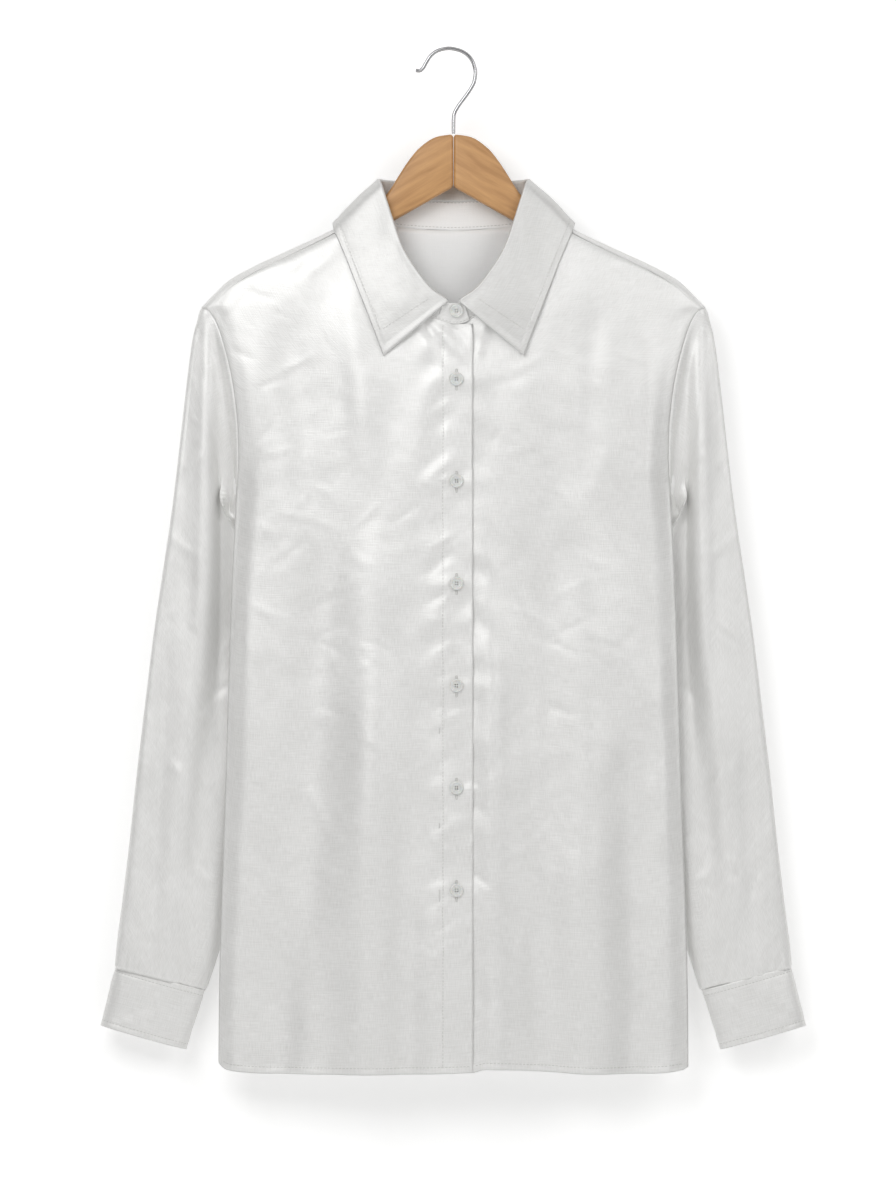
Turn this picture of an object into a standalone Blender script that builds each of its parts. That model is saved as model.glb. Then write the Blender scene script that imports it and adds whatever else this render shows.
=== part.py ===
"""A satin shirt, buttoned up and hung on a flat wooden hanger.

Blender 4.5, metres, +Z up, the front of the shirt towards -Y. The origin is the inside of the
hook's top, where it rests on a rail. Left and right are the wearer's, so the right side is at -X.
The tables below are in millimetres.
"""

import bmesh
import bpy
import numpy as np
from mathutils import Vector

MM = 0.001
COLLECTION = "satin_shirt_on_hanger"

WALL = 1.1  # thickness of every cloth panel
SEAM = 0.9  # from a seam line to the first edge of the piece sewn on there
LAP = 0.85  # each front's distance from the form where the two lap
BEND = 8.0  # height over which the body rounds over the hanger
BODY_SQUARE = 2.3  # how long each side stays full before it falls to its edge
CURVE_SAMPLES = 400  # points that a smooth curve is measured with
SAME_POINT = 0.01  # points nearer than this are one point

# The body's outline: the shoulder line, the armhole from its tip, then the side seam.
BODY = (
    # z, half_width, edge_depth
    (-131.0, 72.0, 8.3),
    (-147.0, 98.0, 8.3),
    (-166.0, 138.0, 8.3),
    (-177.0, 162.0, 8.3),
    (-190.5, 186.0, 8.2),
    (-198.4, 194.3, 7.6),
    (-211.8, 207.3, 5.8),
    (-214.7, 202.0, 5.9),
    (-224.0, 195.5, 7.0),
    (-246.0, 188.0, 8.6),
    (-272.0, 182.0, 9.0),
    (-293.0, 179.0, 8.4),
    (-316.0, 177.2, 6.8),
    (-333.0, 177.0, 4.8),
    (-347.0, 177.6, 2.4),
    (-358.0, 178.3, 0.85),
    (-453.0, 183.0, 0.85),
    (-617.0, 188.0, 0.85),
    (-781.0, 193.0, 0.85),
    (-845.0, 193.5, 0.85),
)
SHOULDER_ROWS = 7  # the rows of BODY that run along the shoulder
SHOULDER_TIP_Z = BODY[SHOULDER_ROWS - 1][0]
UNDERARM_Z = -358.0

# How far the middle of each side stands from the hanger's plane.
DEPTH = (
    # z, front, back
    (-131.0, 9.0, 8.8),
    (-147.0, 11.5, 11.0),
    (-180.0, 17.0, 12.5),
    (-225.0, 22.0, 14.0),
    (-280.0, 25.0, 15.5),
    (-400.0, 26.5, 18.0),
    (-620.0, 27.5, 19.5),
    (-845.0, 28.0, 20.0),
)

# Broad folds of the fronts: where each runs and how far it stands out (-) or sinks in (+).
FOLDS = (
    # x_top, z_top, x_bottom, z_bottom, width, depth
    (-108.0, -300.0, -150.0, -800.0, 26.0, 3.0),
    (-62.0, -340.0, -86.0, -842.0, 20.0, -2.2),
    (-36.0, -560.0, -30.0, -842.0, 15.0, 2.4),
    (34.0, -330.0, 36.0, -842.0, 15.0, -2.2),
    (76.0, -380.0, 64.0, -842.0, 20.0, 3.0),
    (118.0, -420.0, 128.0, -842.0, 22.0, -1.8),
)
FOLD_FADE = 2.5  # a fold is full from the first 1 / FOLD_FADE of its length

HEM = (
    # x, z
    (-193.5, -834.5),
    (-186.0, -839.5),
    (-150.0, -842.0),
    (-60.0, -842.0),
    (16.0, -840.0),
    (26.0, -837.5),
    (70.0, -839.5),
    (120.0, -842.0),
    (160.0, -842.0),
    (193.5, -838.0),
)
HEM_CORNER_X = 193.4
HEM_SAMPLES = 60
BACK_HEM_LIFT = 3.0

NECKLINE = (
    # x outwards from the centre, z
    (-20.0, -227.5),
    (0.0, -226.5),
    (14.0, -222.0),
    (31.0, -210.0),
    (45.0, -195.0),
    (58.0, -175.0),
    (67.0, -152.0),
    (71.5, -134.5),
)
FRONT_SHOULDER_SEAM = (
    (71.5, -134.5),
    (97.5, -150.4),
    (137.0, -170.2),
    (161.0, -181.6),
    (183.0, -195.0),
    (202.0, -214.7),
)
BACK_SHOULDER_LINE = (
    (70.5, -139.0),
    (96.5, -155.0),
    (136.0, -174.4),
    (160.0, -185.6),
    (181.5, -198.4),
    (202.0, -214.7),
)
BACK_NECK_SEAM = (
    (70.5, -139.0),
    (58.0, -143.2),
    (32.0, -146.2),
    (0.0, -147.6),
)
YOKE_SEAM_Z = -250.0

# Where each armhole is divided, from its tip to the underarm, as shares of its height.
ARM_STEPS = (0.0, 0.006, 0.02, 0.07, 0.15, 0.25, 0.37, 0.5, 0.63, 0.75, 0.86, 0.95, 1.0)
YOKE_STEP = 5  # the division where the back yoke seam meets the armhole

RIGHT_FRONT_EDGE = 16.0
LEFT_FRONT_EDGE = -12.0
LAP_FULL_TO = 26.0  # the fronts lie their full distance from the form as far out as this
LAP_FADE = 34.0  # and come back to it over this much more
FRONT_COLUMNS = 9
FRONT_SPLIT_Z = -330.0  # below it a front's inner edge has as many rows as the side seam
FRONT_SPLIT_ROWS = 3  # rows from there to the neck
BACK_COLUMNS = 16
NECK_COLUMNS = 4
SIDE_ROWS = 12
YOKE_TURN = 0.3  # how far from the ridge the yoke's turned rows lie

# The collar, from the centre front round to the centre back.
COLLAR = (
    # neck x, y, z, roll x, y, z, edge x, y, z, share of the height that is the stand
    (0.0, -22.3, -226.0, 4.5, -26.5, -206.3, 57.5, -26.4, -252.5, 0.84),
    (14.0, -21.8, -221.8, 16.6, -25.5, -198.3, 65.5, -25.0, -231.0, 0.80),
    (31.0, -20.1, -210.0, 29.8, -23.0, -182.3, 73.0, -23.2, -211.5, 0.74),
    (45.0, -17.7, -195.0, 41.2, -19.5, -163.4, 80.5, -19.8, -192.0, 0.69),
    (58.0, -14.0, -175.0, 48.7, -15.5, -142.7, 88.0, -16.4, -173.0, 0.65),
    (67.0, -10.0, -152.0, 55.0, -12.0, -123.0, 94.5, -13.0, -157.5, 0.63),
    (71.4, -8.1, -137.0, 58.5, -9.0, -112.0, 98.5, -8.8, -147.5, 0.63),
    (72.2, 0.0, -130.6, 60.3, 0.0, -107.3, 99.5, 0.0, -142.8, 0.63),
    (70.6, 8.2, -138.5, 58.5, 8.5, -106.8, 98.5, 9.2, -147.5, 0.63),
    (58.0, 10.4, -142.8, 47.0, 13.5, -107.3, 86.0, 14.0, -158.0, 0.63),
    (32.0, 10.9, -145.8, 25.0, 17.0, -109.0, 46.0, 15.4, -165.5, 0.63),
    (0.0, 11.2, -147.2, 0.0, 18.0, -110.0, 0.0, 16.0, -168.0, 0.63),
)
STAND_ENDS = (
    # reach past the centre, lift of the lower edge, drop of the upper edge
    (13.5, 4.6, 3.2),
    (6.75, 1.4, 0.4),
)
STAND_LIFT = 1.4  # from the neck line up to the stand
FALL_LIFT = 0.75  # from the stand's top up to the fall
FOLD_ROUND = 1.5  # radius of the collar's fold
FOLD_CROWN = 0.2  # how far the fold's top stands above the roll line
FOLD_SHOULDER = np.array((0.3, 0.3, 0.8))  # how far towards the top each side of the fold's turn lies
FALL_ROWS = 4

# The right and left sleeves hang just behind the body's edge.
SLEEVE = (
    # outer x, z, inner x, z, outer y, inner y, half_depth, trough_depth
    (212.0, -224.0, 182.5, -363.5, 0.5, 4.5, 7.5, 4.5),
    (216.0, -246.0, 180.5, -377.0, 1.5, 9.5, 9.0, 6.0),
    (220.5, -282.0, 172.0, -398.0, 2.5, 14.0, 10.0, 7.0),
    (225.5, -326.0, 164.0, -428.0, 3.5, 17.0, 10.5, 7.5),
    (231.5, -376.0, 158.5, -462.0, 4.5, 19.0, 10.5, 7.5),
    (239.5, -430.0, 156.0, -500.0, 6.0, 20.5, 10.5, 7.0),
    (247.5, -484.0, 157.0, -540.0, 7.5, 21.0, 10.5, 6.0),
    (254.3, -540.0, 162.0, -584.0, 8.5, 21.0, 11.0, 4.5),
    (261.3, -598.0, 170.0, -632.0, 9.5, 20.0, 11.0, 3.0),
    (267.5, -656.0, 180.0, -682.0, 10.5, 18.5, 11.5, 2.0),
    (273.4, -706.0, 189.5, -728.0, 11.5, 16.5, 12.0, 1.0),
    (277.6, -738.0, 199.0, -760.0, 12.5, 15.5, 12.5, 0.5),
    (278.6, -753.4, 205.0, -774.0, 13.0, 15.0, 12.0, 0.0),
)
TROUGH = (
    # z, x of the deep fold beside the armhole
    (-215.0, 196.0),
    (-231.0, 194.0),
    (-304.0, 190.5),
    (-400.0, 189.5),
    (-620.0, 192.0),
)
TROUGH_WIDTH = 7.0
SLEEVE_SQUARE = 0.8
SLEEVE_SEAM = 1.2 * SEAM  # the sleeve is set in a little further from the armhole

CUFF_TOP = (241.7, 14.0, -764.8)
CUFF_BOTTOM = (255.4, 14.0, -813.6)
CUFF_HALF_WIDTH = (38.0, 36.6)
CUFF_HALF_DEPTH = (12.0, 13.5)
CUFF_LAP_AT = 62.0  # degrees round from the outer edge towards the back
CUFF_LAP = 26.0  # degrees that the ends pass each other
CUFF_SQUARE = 0.9
CUFF_COLUMNS = 28
CUFF_ROWS = 3
CUFF_BUTTON_LIFT = 0.4

BUTTON_X = 2.5
BUTTON_PROFILE = (
    # radius, height, from the middle of the front round to the middle of the back
    (0.0, 1.5),
    (3.4, 1.5),
    (5.0, 2.3),
    (5.6, 1.8),
    (5.6, 0.6),
    (5.1, 0.0),
    (0.0, 0.0),
)
BUTTON_SIDES = 16
BUTTON_GAP = 0.35
COLLAR_BUTTON_Z = -215.5
FIRST_BUTTON_Z = -271.4
BUTTON_PITCH = 83.8
FRONT_BUTTONS = 6

WOOD_THICK = 14.0
WOOD_EDGE = 3.0
WOOD_EDGE_SEGMENTS = 3
HANGER_GAP = 0.3
ARM_TOP = (
    # x, z along the top, from the middle to the end
    (0.0, -69.3),
    (13.0, -71.2),
    (28.0, -80.6),
    (37.4, -91.8),
    (44.9, -103.2),
    (52.5, -115.4),
    (60.0, -124.5),
    (70.0, -134.8),
    (98.0, -152.2),
    (138.0, -171.2),
    (162.0, -182.4),
    (177.0, -191.8),
    (185.5, -199.0),
    (187.5, -206.5),
    (185.5, -213.5),
    (178.0, -214.5),
)
ARM_UNDER = (
    # x, z back along the underside
    (140.0, -192.1),
    (98.0, -168.3),
    (49.7, -140.8),
    (0.0, -112.6),
)

WIRE_RADIUS = 1.6
WIRE_PIECES = 34
HOOK = (
    # x, z along the wire, from the wood to the tip
    (0.0, -68.9),
    (0.0, -60.0),
    (0.4, -53.5),
    (3.4, -47.0),
    (8.4, -40.0),
    (13.4, -33.0),
    (17.0, -26.0),
    (18.1, -18.5),
    (16.2, -10.3),
    (11.4, -3.7),
    (4.2, 0.2),
    (-3.8, 1.6),
    (-11.8, 0.1),
    (-18.4, -4.2),
    (-22.6, -10.4),
    (-25.2, -14.9),
    (-28.3, -16.9),
    (-31.0, -16.6),
)


def through(knots, at):
    """Values at the given places of a smooth curve through (place, value) knots, level beyond its ends."""
    knots = np.array(sorted(knots), float)
    place, value = knots[:, 0], knots[:, 1]
    step = np.diff(place)
    rise = np.diff(value) / step
    slope = np.zeros(len(place))
    slope[0], slope[-1] = rise[0], rise[-1]
    same_way = rise[:-1] * rise[1:] > 0
    both = np.where(same_way, rise[:-1] + rise[1:], 1.0)
    slope[1:-1] = np.where(same_way, 2 * rise[:-1] * rise[1:] / both, 0.0)
    at = np.clip(np.asarray(at, float), place[0], place[-1])
    k = np.clip(np.searchsorted(place, at) - 1, 0, len(step) - 1)
    t = (at - place[k]) / step[k]
    start = value[k] + t * step[k] * slope[k] * (1 - t) ** 2
    bulge = (value[k + 1] - value[k]) * t**2 * (3 - 2 * t)
    return start + bulge - step[k] * slope[k + 1] * t**2 * (1 - t)


def path(points, shares):
    """Points of the smooth curve through the given ones, at shares of its length."""
    points = np.array(points, float)
    chord = np.append(0, np.cumsum(np.linalg.norm(np.diff(points, axis=0), axis=1)))
    fine = np.linspace(0, chord[-1], CURVE_SAMPLES)
    curve = np.stack([through(list(zip(chord, axis)), fine) for axis in points.T], axis=1)
    length = np.append(0, np.cumsum(np.linalg.norm(np.diff(curve, axis=0), axis=1)))
    wanted = np.asarray(shares, float) * length[-1]
    return np.stack([np.interp(wanted, length, axis) for axis in curve.T], axis=1)


def even(count):
    return np.linspace(0, 1, count + 1)


def half_width(z):
    return through([(row[0], row[1]) for row in BODY], z)


def edge_depth(z):
    return through([(row[0], row[2]) for row in BODY], z)


def shoulder_z(x):
    return through([(row[1], row[0]) for row in BODY[:SHOULDER_ROWS]], np.abs(x))


def fold(x, z):
    """How far the broad folds move the front, which is less near the top of each."""
    moved = np.zeros(np.shape(x))
    for x_top, z_top, x_bottom, z_bottom, width, depth in FOLDS:
        down = (z_top - z) / (z_top - z_bottom)
        across = (x - x_top - (x_bottom - x_top) * down) / width
        moved = moved + depth * np.clip(down * FOLD_FADE, 0, 1) * np.exp(-(across**2))
    return moved


def body_y(x, z, face):
    """The body's form: face -1 is the front and +1 the back."""
    middle = through([(row[0], row[1 if face < 0 else 2]) for row in DEPTH], z)
    edge = edge_depth(z)
    across = np.clip(np.abs(x) / half_width(z), 0, 1)
    lens = 1 - across**BODY_SQUARE
    depth = edge + (middle - edge) * lens
    below = np.clip((shoulder_z(x) - z) / BEND, 0, 1)
    y = face * depth * np.sqrt(1 - (1 - below) ** 2)
    return y + fold(x, z) * lens if face < 0 else y


def armhole_z(steps):
    return SHOULDER_TIP_Z + (UNDERARM_Z - SHOULDER_TIP_Z) * np.asarray(steps)


def coons(bottom, top, left, right):
    """Rows of points between four edges. Bottom and top run left to right, left and right run upwards."""
    u = (shares_of(bottom) + shares_of(top))[None, :, None] / 2
    v = (shares_of(left) + shares_of(right))[:, None, None] / 2
    across = (1 - u) * left[:, None] + u * right[:, None]
    along = (1 - v) * bottom[None] + v * top[None]
    low = (1 - u) * bottom[0] + u * bottom[-1]
    high = (1 - u) * top[0] + u * top[-1]
    return across + along - (1 - v) * low - v * high


def shares_of(points):
    length = np.append(0, np.cumsum(np.linalg.norm(np.diff(points, axis=0), axis=1)))
    return length / length[-1]


def on_body(flat, face, side=1):
    """Lays (x, z) points, given outwards from the centre, on the front or back of one side."""
    x, z = side * flat[..., 0], flat[..., 1]
    return np.stack([x, body_y(x, z, face), z], axis=-1)


def clear_scene():
    for obj in list(bpy.data.objects):
        bpy.data.objects.remove(obj, do_unlink=True)
    bpy.context.scene.collection.children.link(bpy.data.collections.new(COLLECTION))


def material(name, colour, roughness, metallic=0.0):
    made = bpy.data.materials.new(name)
    made.use_nodes = True
    shader = made.node_tree.nodes["Principled BSDF"]
    shader.inputs["Base Color"].default_value = (*colour, 1.0)
    shader.inputs["Roughness"].default_value = roughness
    shader.inputs["Metallic"].default_value = metallic
    made.diffuse_color = (*colour, 1.0)
    return made


def add(name, shaped, look, smooth=False):
    """A new object from a bmesh, with its own material."""
    mesh = bpy.data.meshes.new(name)
    shaped.to_mesh(mesh)
    shaped.free()
    mesh.materials.append(material(name + "_material", *look))
    mesh.polygons.foreach_set("use_smooth", [smooth] * len(mesh.polygons))
    obj = bpy.data.objects.new(name, mesh)
    bpy.data.collections[COLLECTION].objects.link(obj)
    return obj


def lay_grid(shaped, rows):
    """Adds a grid whose points lie at the given rows of points, in millimetres."""
    count, columns = rows.shape[:2]
    made = bmesh.ops.create_grid(shaped, x_segments=columns - 1, y_segments=count - 1, size=1.0)
    for vertex, point in zip(made["verts"], rows.reshape(-1, 3)):
        vertex.co = Vector(point) * MM


def panel(name, grids, look):
    """A cloth piece: grids joined where they meet, then given their thickness."""
    shaped = bmesh.new()
    for rows in grids:
        lay_grid(shaped, rows)
    bmesh.ops.remove_doubles(shaped, verts=shaped.verts, dist=SAME_POINT * MM)
    bmesh.ops.recalc_face_normals(shaped, faces=shaped.faces)
    obj = add(name, shaped, look, smooth=True)
    thick = obj.modifiers.new("thickness", "SOLIDIFY")
    thick.thickness = WALL * MM
    thick.offset = 0.0
    thick.use_even_offset = False
    return obj


def side_edge(hem_z, last_step):
    """Up the side seam from the hem, then up the armhole to one of its divisions."""
    side_z = np.linspace(hem_z, UNDERARM_Z, SIDE_ROWS + 1)
    arm_z = armhole_z(ARM_STEPS[last_step:-1])[::-1]
    z = np.append(side_z, arm_z)
    return np.stack([half_width(z), z], axis=1)


def front_flat(side, edge_x):
    """One front, flat, with x outwards from the centre. Its inner edge lies past the centre."""
    inner = side * edge_x
    neck_corner = (inner, float(through(NECKLINE, inner)))
    x = np.linspace(inner, HEM_CORNER_X, HEM_SAMPLES)
    bottom = path(np.stack([x, through(HEM, side * x)], axis=1), even(FRONT_COLUMNS))
    right = side_edge(bottom[-1][1], 2)
    right[0] = bottom[-1]
    split = (inner, FRONT_SPLIT_Z)
    low = np.linspace(bottom[0], split, SIDE_ROWS + 1)
    middle = np.linspace(split, neck_corner, FRONT_SPLIT_ROWS + 1)[1:]
    neck = [neck_corner] + [row for row in NECKLINE if row[0] > inner + 4]
    rest = len(right) - len(low) - len(middle)
    high = path(neck, even(rest))[1:]
    left = np.concatenate([low, middle, high])
    top = path(FRONT_SHOULDER_SEAM, even(FRONT_COLUMNS))
    return coons(bottom, top, left, right)


def lap_blend(x, side):
    """1 where the fronts lap, falling to 0 on the panel."""
    t = np.clip((side * x - LAP_FULL_TO) / LAP_FADE, 0, 1)
    return 1 - t * t * (3 - 2 * t)


def make_front(name, side, edge_x, out, look):
    rows = on_body(front_flat(side, edge_x), -1, side)
    rows[..., 1] -= out * LAP * lap_blend(rows[..., 0], side)
    return panel(name, [rows], look)


def make_back(look):
    x = np.linspace(-HEM_CORNER_X, HEM_CORNER_X, HEM_SAMPLES)
    bottom = path(np.stack([x, through(HEM, x) + BACK_HEM_LIFT], axis=1), even(BACK_COLUMNS))
    right = side_edge(bottom[-1][1], YOKE_STEP)
    left = right * (-1, 1)
    seam = [(-right[-1][0], right[-1][1]), (0.0, YOKE_SEAM_Z), tuple(right[-1])]
    top = path(seam, even(BACK_COLUMNS))
    rows = on_body(coons(bottom, top, left, right), 1)
    rows[-1, :, 2] -= SEAM / 2
    return panel("back", [rows], look)


def half_yoke(side):
    """The yoke's rows over the shoulder, and its rows down the back to the seam."""
    shoulder = [(row[1], row[0]) for row in BODY[:SHOULDER_ROWS]]
    ridge = path(shoulder, even(FRONT_COLUMNS))
    front = path(FRONT_SHOULDER_SEAM, even(FRONT_COLUMNS))
    back = path(BACK_SHOULDER_LINE, even(FRONT_COLUMNS))
    z = armhole_z(ARM_STEPS)
    tip = np.stack([half_width(z), z], axis=1)
    front[-1] = back[-1] = tip[2]
    front_mid = ridge + YOKE_TURN * (front - ridge)
    back_mid = ridge + YOKE_TURN * (back - ridge)
    front_mid[-1] = back_mid[-1] = tip[1]
    over = np.stack([front, front_mid, ridge, back_mid, back])
    y = body_y(over[..., 0], over[..., 1], 1)
    y[:2] *= -1
    y[2] = 0
    over = np.stack([side * over[..., 0], y, over[..., 1]], axis=-1)
    over[0] += 0.5 * SEAM * unit(over[1] - over[0])
    neck = path(BACK_NECK_SEAM, even(NECK_COLUMNS))
    top = np.concatenate([neck[::-1], back[1:]])
    bottom = path([(0.0, YOKE_SEAM_Z), tuple(tip[YOKE_STEP])], even(len(top) - 1))
    right = tip[2 : YOKE_STEP + 1][::-1]
    left = np.linspace(bottom[0], top[0], len(right))
    down = coons(bottom, top, left, right)
    down = on_body(down, 1, side)
    down[0, :, 2] += SEAM / 2
    return over, down


def unit(vectors):
    return vectors / np.linalg.norm(vectors, axis=-1, keepdims=True)


def make_yoke(look):
    return panel("yoke", [*half_yoke(-1), *half_yoke(1)], look)


def collar_table(side):
    """The collar's neck line, roll line and outer edge on one side, and the stand's share of the height."""
    table = np.array(COLLAR)
    mirror = np.array((side, 1, 1))
    neck, roll, edge = (table[:, k : k + 3] * mirror for k in (0, 3, 6))
    return neck, roll, edge, table[:, 9:10]


def both_halves(left, right):
    """Rows that run from the left front round the neck to the right front."""
    return np.concatenate([left, right[:, -2::-1]], axis=1)


def make_stand(look):
    halves = []
    for side in (1, -1):
        neck, roll, _, share = collar_table(side)
        low = neck + STAND_LIFT * unit(roll - neck)
        high = neck + share * (roll - neck)
        rows = np.stack([low, (low + high) / 2, high])
        in_front = rows[..., 1] < 0
        rows[..., 1] += side * LAP * lap_blend(rows[..., 0], side) * in_front
        ends = []
        for reach, lift, drop in STAND_ENDS:
            end = rows[:, 0] - (side * reach, 0, 0)
            end[:, 2] += (lift, 0.0, -drop)
            ends.append(end)
        halves.append(np.concatenate([np.stack(ends, axis=1), rows], axis=1))
    return panel("collar_stand", [both_halves(*halves)], look)


def make_fall(look):
    halves = []
    for side in (1, -1):
        neck, roll, edge, share = collar_table(side)
        up = unit(roll - neck)
        out = unit(np.cross(np.gradient(roll, axis=0), up)) * side
        start = neck + share * (roll - neck) + FALL_LIFT * up
        turn_in = roll - FOLD_ROUND * up
        crown = roll + FOLD_ROUND * out + FOLD_CROWN * up
        turn_out = turn_in + 2 * FOLD_ROUND * out
        rows = [start, turn_in, turn_in + (crown - turn_in) * FOLD_SHOULDER, crown]
        rows.append(turn_out + (crown - turn_out) * FOLD_SHOULDER)
        rows += [turn_out + t * (edge - turn_out) for t in even(FALL_ROWS)]
        halves.append(np.stack(rows))
    return panel("collar_fall", [both_halves(*halves)], look)


def sleeve_rings(side):
    """Rings from the armhole to the cuff, each from the outer edge along the front and round the back."""
    z = armhole_z(ARM_STEPS)
    x = half_width(z)
    front = np.stack([x, body_y(x, z, -1), z], axis=1)
    back = np.stack([x, body_y(x, z, 1), z], axis=1)
    front[0, 1] = back[0, 1] = 0.0
    front[-1, 1] = back[-1, 1] = 0.0
    armhole = np.concatenate([front, back[-2:0:-1]])
    arc = np.linspace(0, np.pi, len(ARM_STEPS))
    shares = (1 - np.cos(arc)) / 2
    rings = []
    for x_out, z_out, x_in, z_in, y_out, y_in, half_depth, trough in SLEEVE:
        x = x_out + (x_in - x_out) * shares
        z = z_out + (z_in - z_out) * shares
        middle = y_out + (y_in - y_out) * shares
        swell = half_depth * np.abs(np.sin(arc)) ** SLEEVE_SQUARE
        centre = through(TROUGH, z)
        sunk = trough * np.exp(-(((x - centre) / TROUGH_WIDTH) ** 2)) * np.sin(arc)
        front = np.stack([x, middle - swell + sunk, z], axis=1)
        back = np.stack([x, middle + swell, z], axis=1)
        rings.append(np.concatenate([front, back[-2:0:-1]]))
    first = armhole + SLEEVE_SEAM * unit(rings[0] - armhole)
    rings = np.stack([first] + rings)
    rings[..., 0] *= side
    return np.concatenate([rings, rings[:, :1]], axis=1)


def cuff_rows(side):
    """The cuff's rows. Its ends lap at the back, the upper one outside."""
    turn = np.radians(CUFF_LAP_AT + np.linspace(0, 360 + CUFF_LAP, CUFF_COLUMNS + 1))
    offset = np.linspace(-LAP, LAP, len(turn))[:, None]
    top, bottom = np.array(CUFF_TOP), np.array(CUFF_BOTTOM)
    axis = unit(bottom - top)
    outwards = np.array((-axis[2], 0.0, axis[0]))
    cos, sin = np.cos(turn)[:, None], np.sin(turn)[:, None]
    cos = np.sign(cos) * np.abs(cos) ** CUFF_SQUARE
    sin = np.sign(sin) * np.abs(sin) ** CUFF_SQUARE
    rows = []
    for t in even(CUFF_ROWS):
        wide = CUFF_HALF_WIDTH[0] + t * (CUFF_HALF_WIDTH[1] - CUFF_HALF_WIDTH[0])
        deep = CUFF_HALF_DEPTH[0] + t * (CUFF_HALF_DEPTH[1] - CUFF_HALF_DEPTH[0])
        ring = (wide + offset) * cos * outwards + (deep + offset) * sin * np.array((0, 1, 0))
        rows.append(top + t * (bottom - top) + ring)
    rows = np.stack(rows)
    rows[..., 0] *= side
    return rows


def make_button(name, centre, normal, look):
    """A profile turned round its axis, its back a small gap from the cloth at the centre given."""
    shaped = bmesh.new()
    corners = [shaped.verts.new((radius * MM, 0.0, height * MM)) for radius, height in BUTTON_PROFILE]
    for start, end in zip(corners[:-1], corners[1:]):
        shaped.edges.new((start, end))
    obj = add(name, shaped, look)
    turned = obj.modifiers.new("turned", "SCREW")
    turned.axis = "Z"
    turned.steps = BUTTON_SIDES
    turned.render_steps = BUTTON_SIDES
    turned.use_merge_vertices = True
    turned.merge_threshold = SAME_POINT * MM
    turned.use_smooth_shade = True
    normal = Vector(normal).normalized()
    obj.rotation_mode = "QUATERNION"
    obj.rotation_quaternion = normal.to_track_quat("Z", "Y")
    obj.location = (Vector(centre) + normal * (WALL / 2 + BUTTON_GAP)) * MM
    return obj


def make_arm(name, side, look):
    """One half of the hanger: its outline extruded, with rounded edges."""
    outline = [(max(x, HANGER_GAP / 2), z) for x, z in ARM_TOP + ARM_UNDER]
    shape = bmesh.new()
    bottom = [shape.verts.new((side * x * MM, -WOOD_THICK / 2 * MM, z * MM)) for x, z in outline]
    face = shape.faces.new(bottom)
    moved = bmesh.ops.extrude_face_region(shape, geom=[face])
    new = [item for item in moved["geom"] if isinstance(item, bmesh.types.BMVert)]
    bmesh.ops.translate(shape, verts=new, vec=(0, WOOD_THICK * MM, 0))
    bmesh.ops.recalc_face_normals(shape, faces=shape.faces)
    middle = HANGER_GAP * MM
    around = [
        edge
        for edge in shape.edges
        if abs(edge.verts[0].co.y - edge.verts[1].co.y) < MM
        and not all(abs(v.co.x) < middle for v in edge.verts)
    ]
    bmesh.ops.bevel(
        shape,
        geom=around,
        offset=WOOD_EDGE * MM,
        offset_type="OFFSET",
        segments=WOOD_EDGE_SEGMENTS,
        profile=0.5,
        affect="EDGES",
        clamp_overlap=True,
    )
    return add(name, shape, look)


def make_hook(look):
    """The wire, swept along its path. It swivels in the wood, which isn't modelled."""
    wire = bpy.data.curves.new("hanger_hook", "CURVE")
    wire.dimensions = "3D"
    wire.bevel_depth = WIRE_RADIUS * MM
    wire.bevel_resolution = 2
    wire.use_fill_caps = True
    wire.render_resolution_u = 0
    line = path(HOOK, even(WIRE_PIECES))
    spline = wire.splines.new("POLY")
    spline.points.add(len(line) - 1)
    for point, (x, z) in zip(spline.points, line):
        point.co = (x * MM, 0.0, z * MM, 1.0)
    spline.use_smooth = True
    wire.materials.append(material("hanger_hook_material", *look))
    obj = bpy.data.objects.new("hanger_hook", wire)
    bpy.data.collections[COLLECTION].objects.link(obj)
    return obj


def main():
    satin = ((0.84, 0.84, 0.82), 0.32)
    shell = ((0.86, 0.86, 0.84), 0.2)
    wood = ((0.54, 0.29, 0.13), 0.45)
    steel = ((0.62, 0.62, 0.62), 0.2, 1.0)

    clear_scene()
    make_arm("hanger_arm_right", -1, wood)
    make_arm("hanger_arm_left", 1, wood)
    make_hook(steel)
    make_back(satin)
    make_yoke(satin)
    make_front("front_right", -1, RIGHT_FRONT_EDGE, 1, satin)
    make_front("front_left", 1, LEFT_FRONT_EDGE, -1, satin)
    for name, side in (("right", -1), ("left", 1)):
        panel("sleeve_" + name, [sleeve_rings(side)], satin)
        cuff = cuff_rows(side)
        panel("cuff_" + name, [cuff], satin)
        end, before = cuff[1:3, -1].mean(axis=0), cuff[1:3, -3].mean(axis=0)
        normal = np.cross(end - before, cuff[2, -2] - cuff[1, -2])
        normal = unit(normal if normal[1] > 0 else -normal)
        make_button(f"button_{name}_cuff", (end + before) / 2 + CUFF_BUTTON_LIFT * normal, normal, shell)
    make_stand(satin)
    make_fall(satin)
    neck, roll = np.array(COLLAR[0][:3]), np.array(COLLAR[0][3:6])
    slope = (roll - neck)[1] / (roll - neck)[2]
    stand_y = neck[1] + slope * (COLLAR_BUTTON_Z - neck[2]) - LAP
    make_button("button_collar", (BUTTON_X, stand_y, COLLAR_BUTTON_Z), (0, -1, slope), shell)
    for k in range(FRONT_BUTTONS):
        z = FIRST_BUTTON_Z - k * BUTTON_PITCH
        y = float(body_y(BUTTON_X, z, -1)) - LAP
        make_button(f"button_front_{k + 1}", (BUTTON_X, y, z), (0, -1, 0), shell)


main()
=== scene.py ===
# %% [markdown]
# # A satin shirt on a wooden hanger
# The shirt is buttoned to the neck and hangs on a flat hanger. Satin is thin and glossy, so what
# the eye reads is the folds: long soft ones from the shoulders, a deep one in each sleeve beside
# the armhole, and small puckers wherever a row of stitches holds the cloth. The plain solids of
# the frame say where each piece is, and this script makes what is seen.

import math

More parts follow.
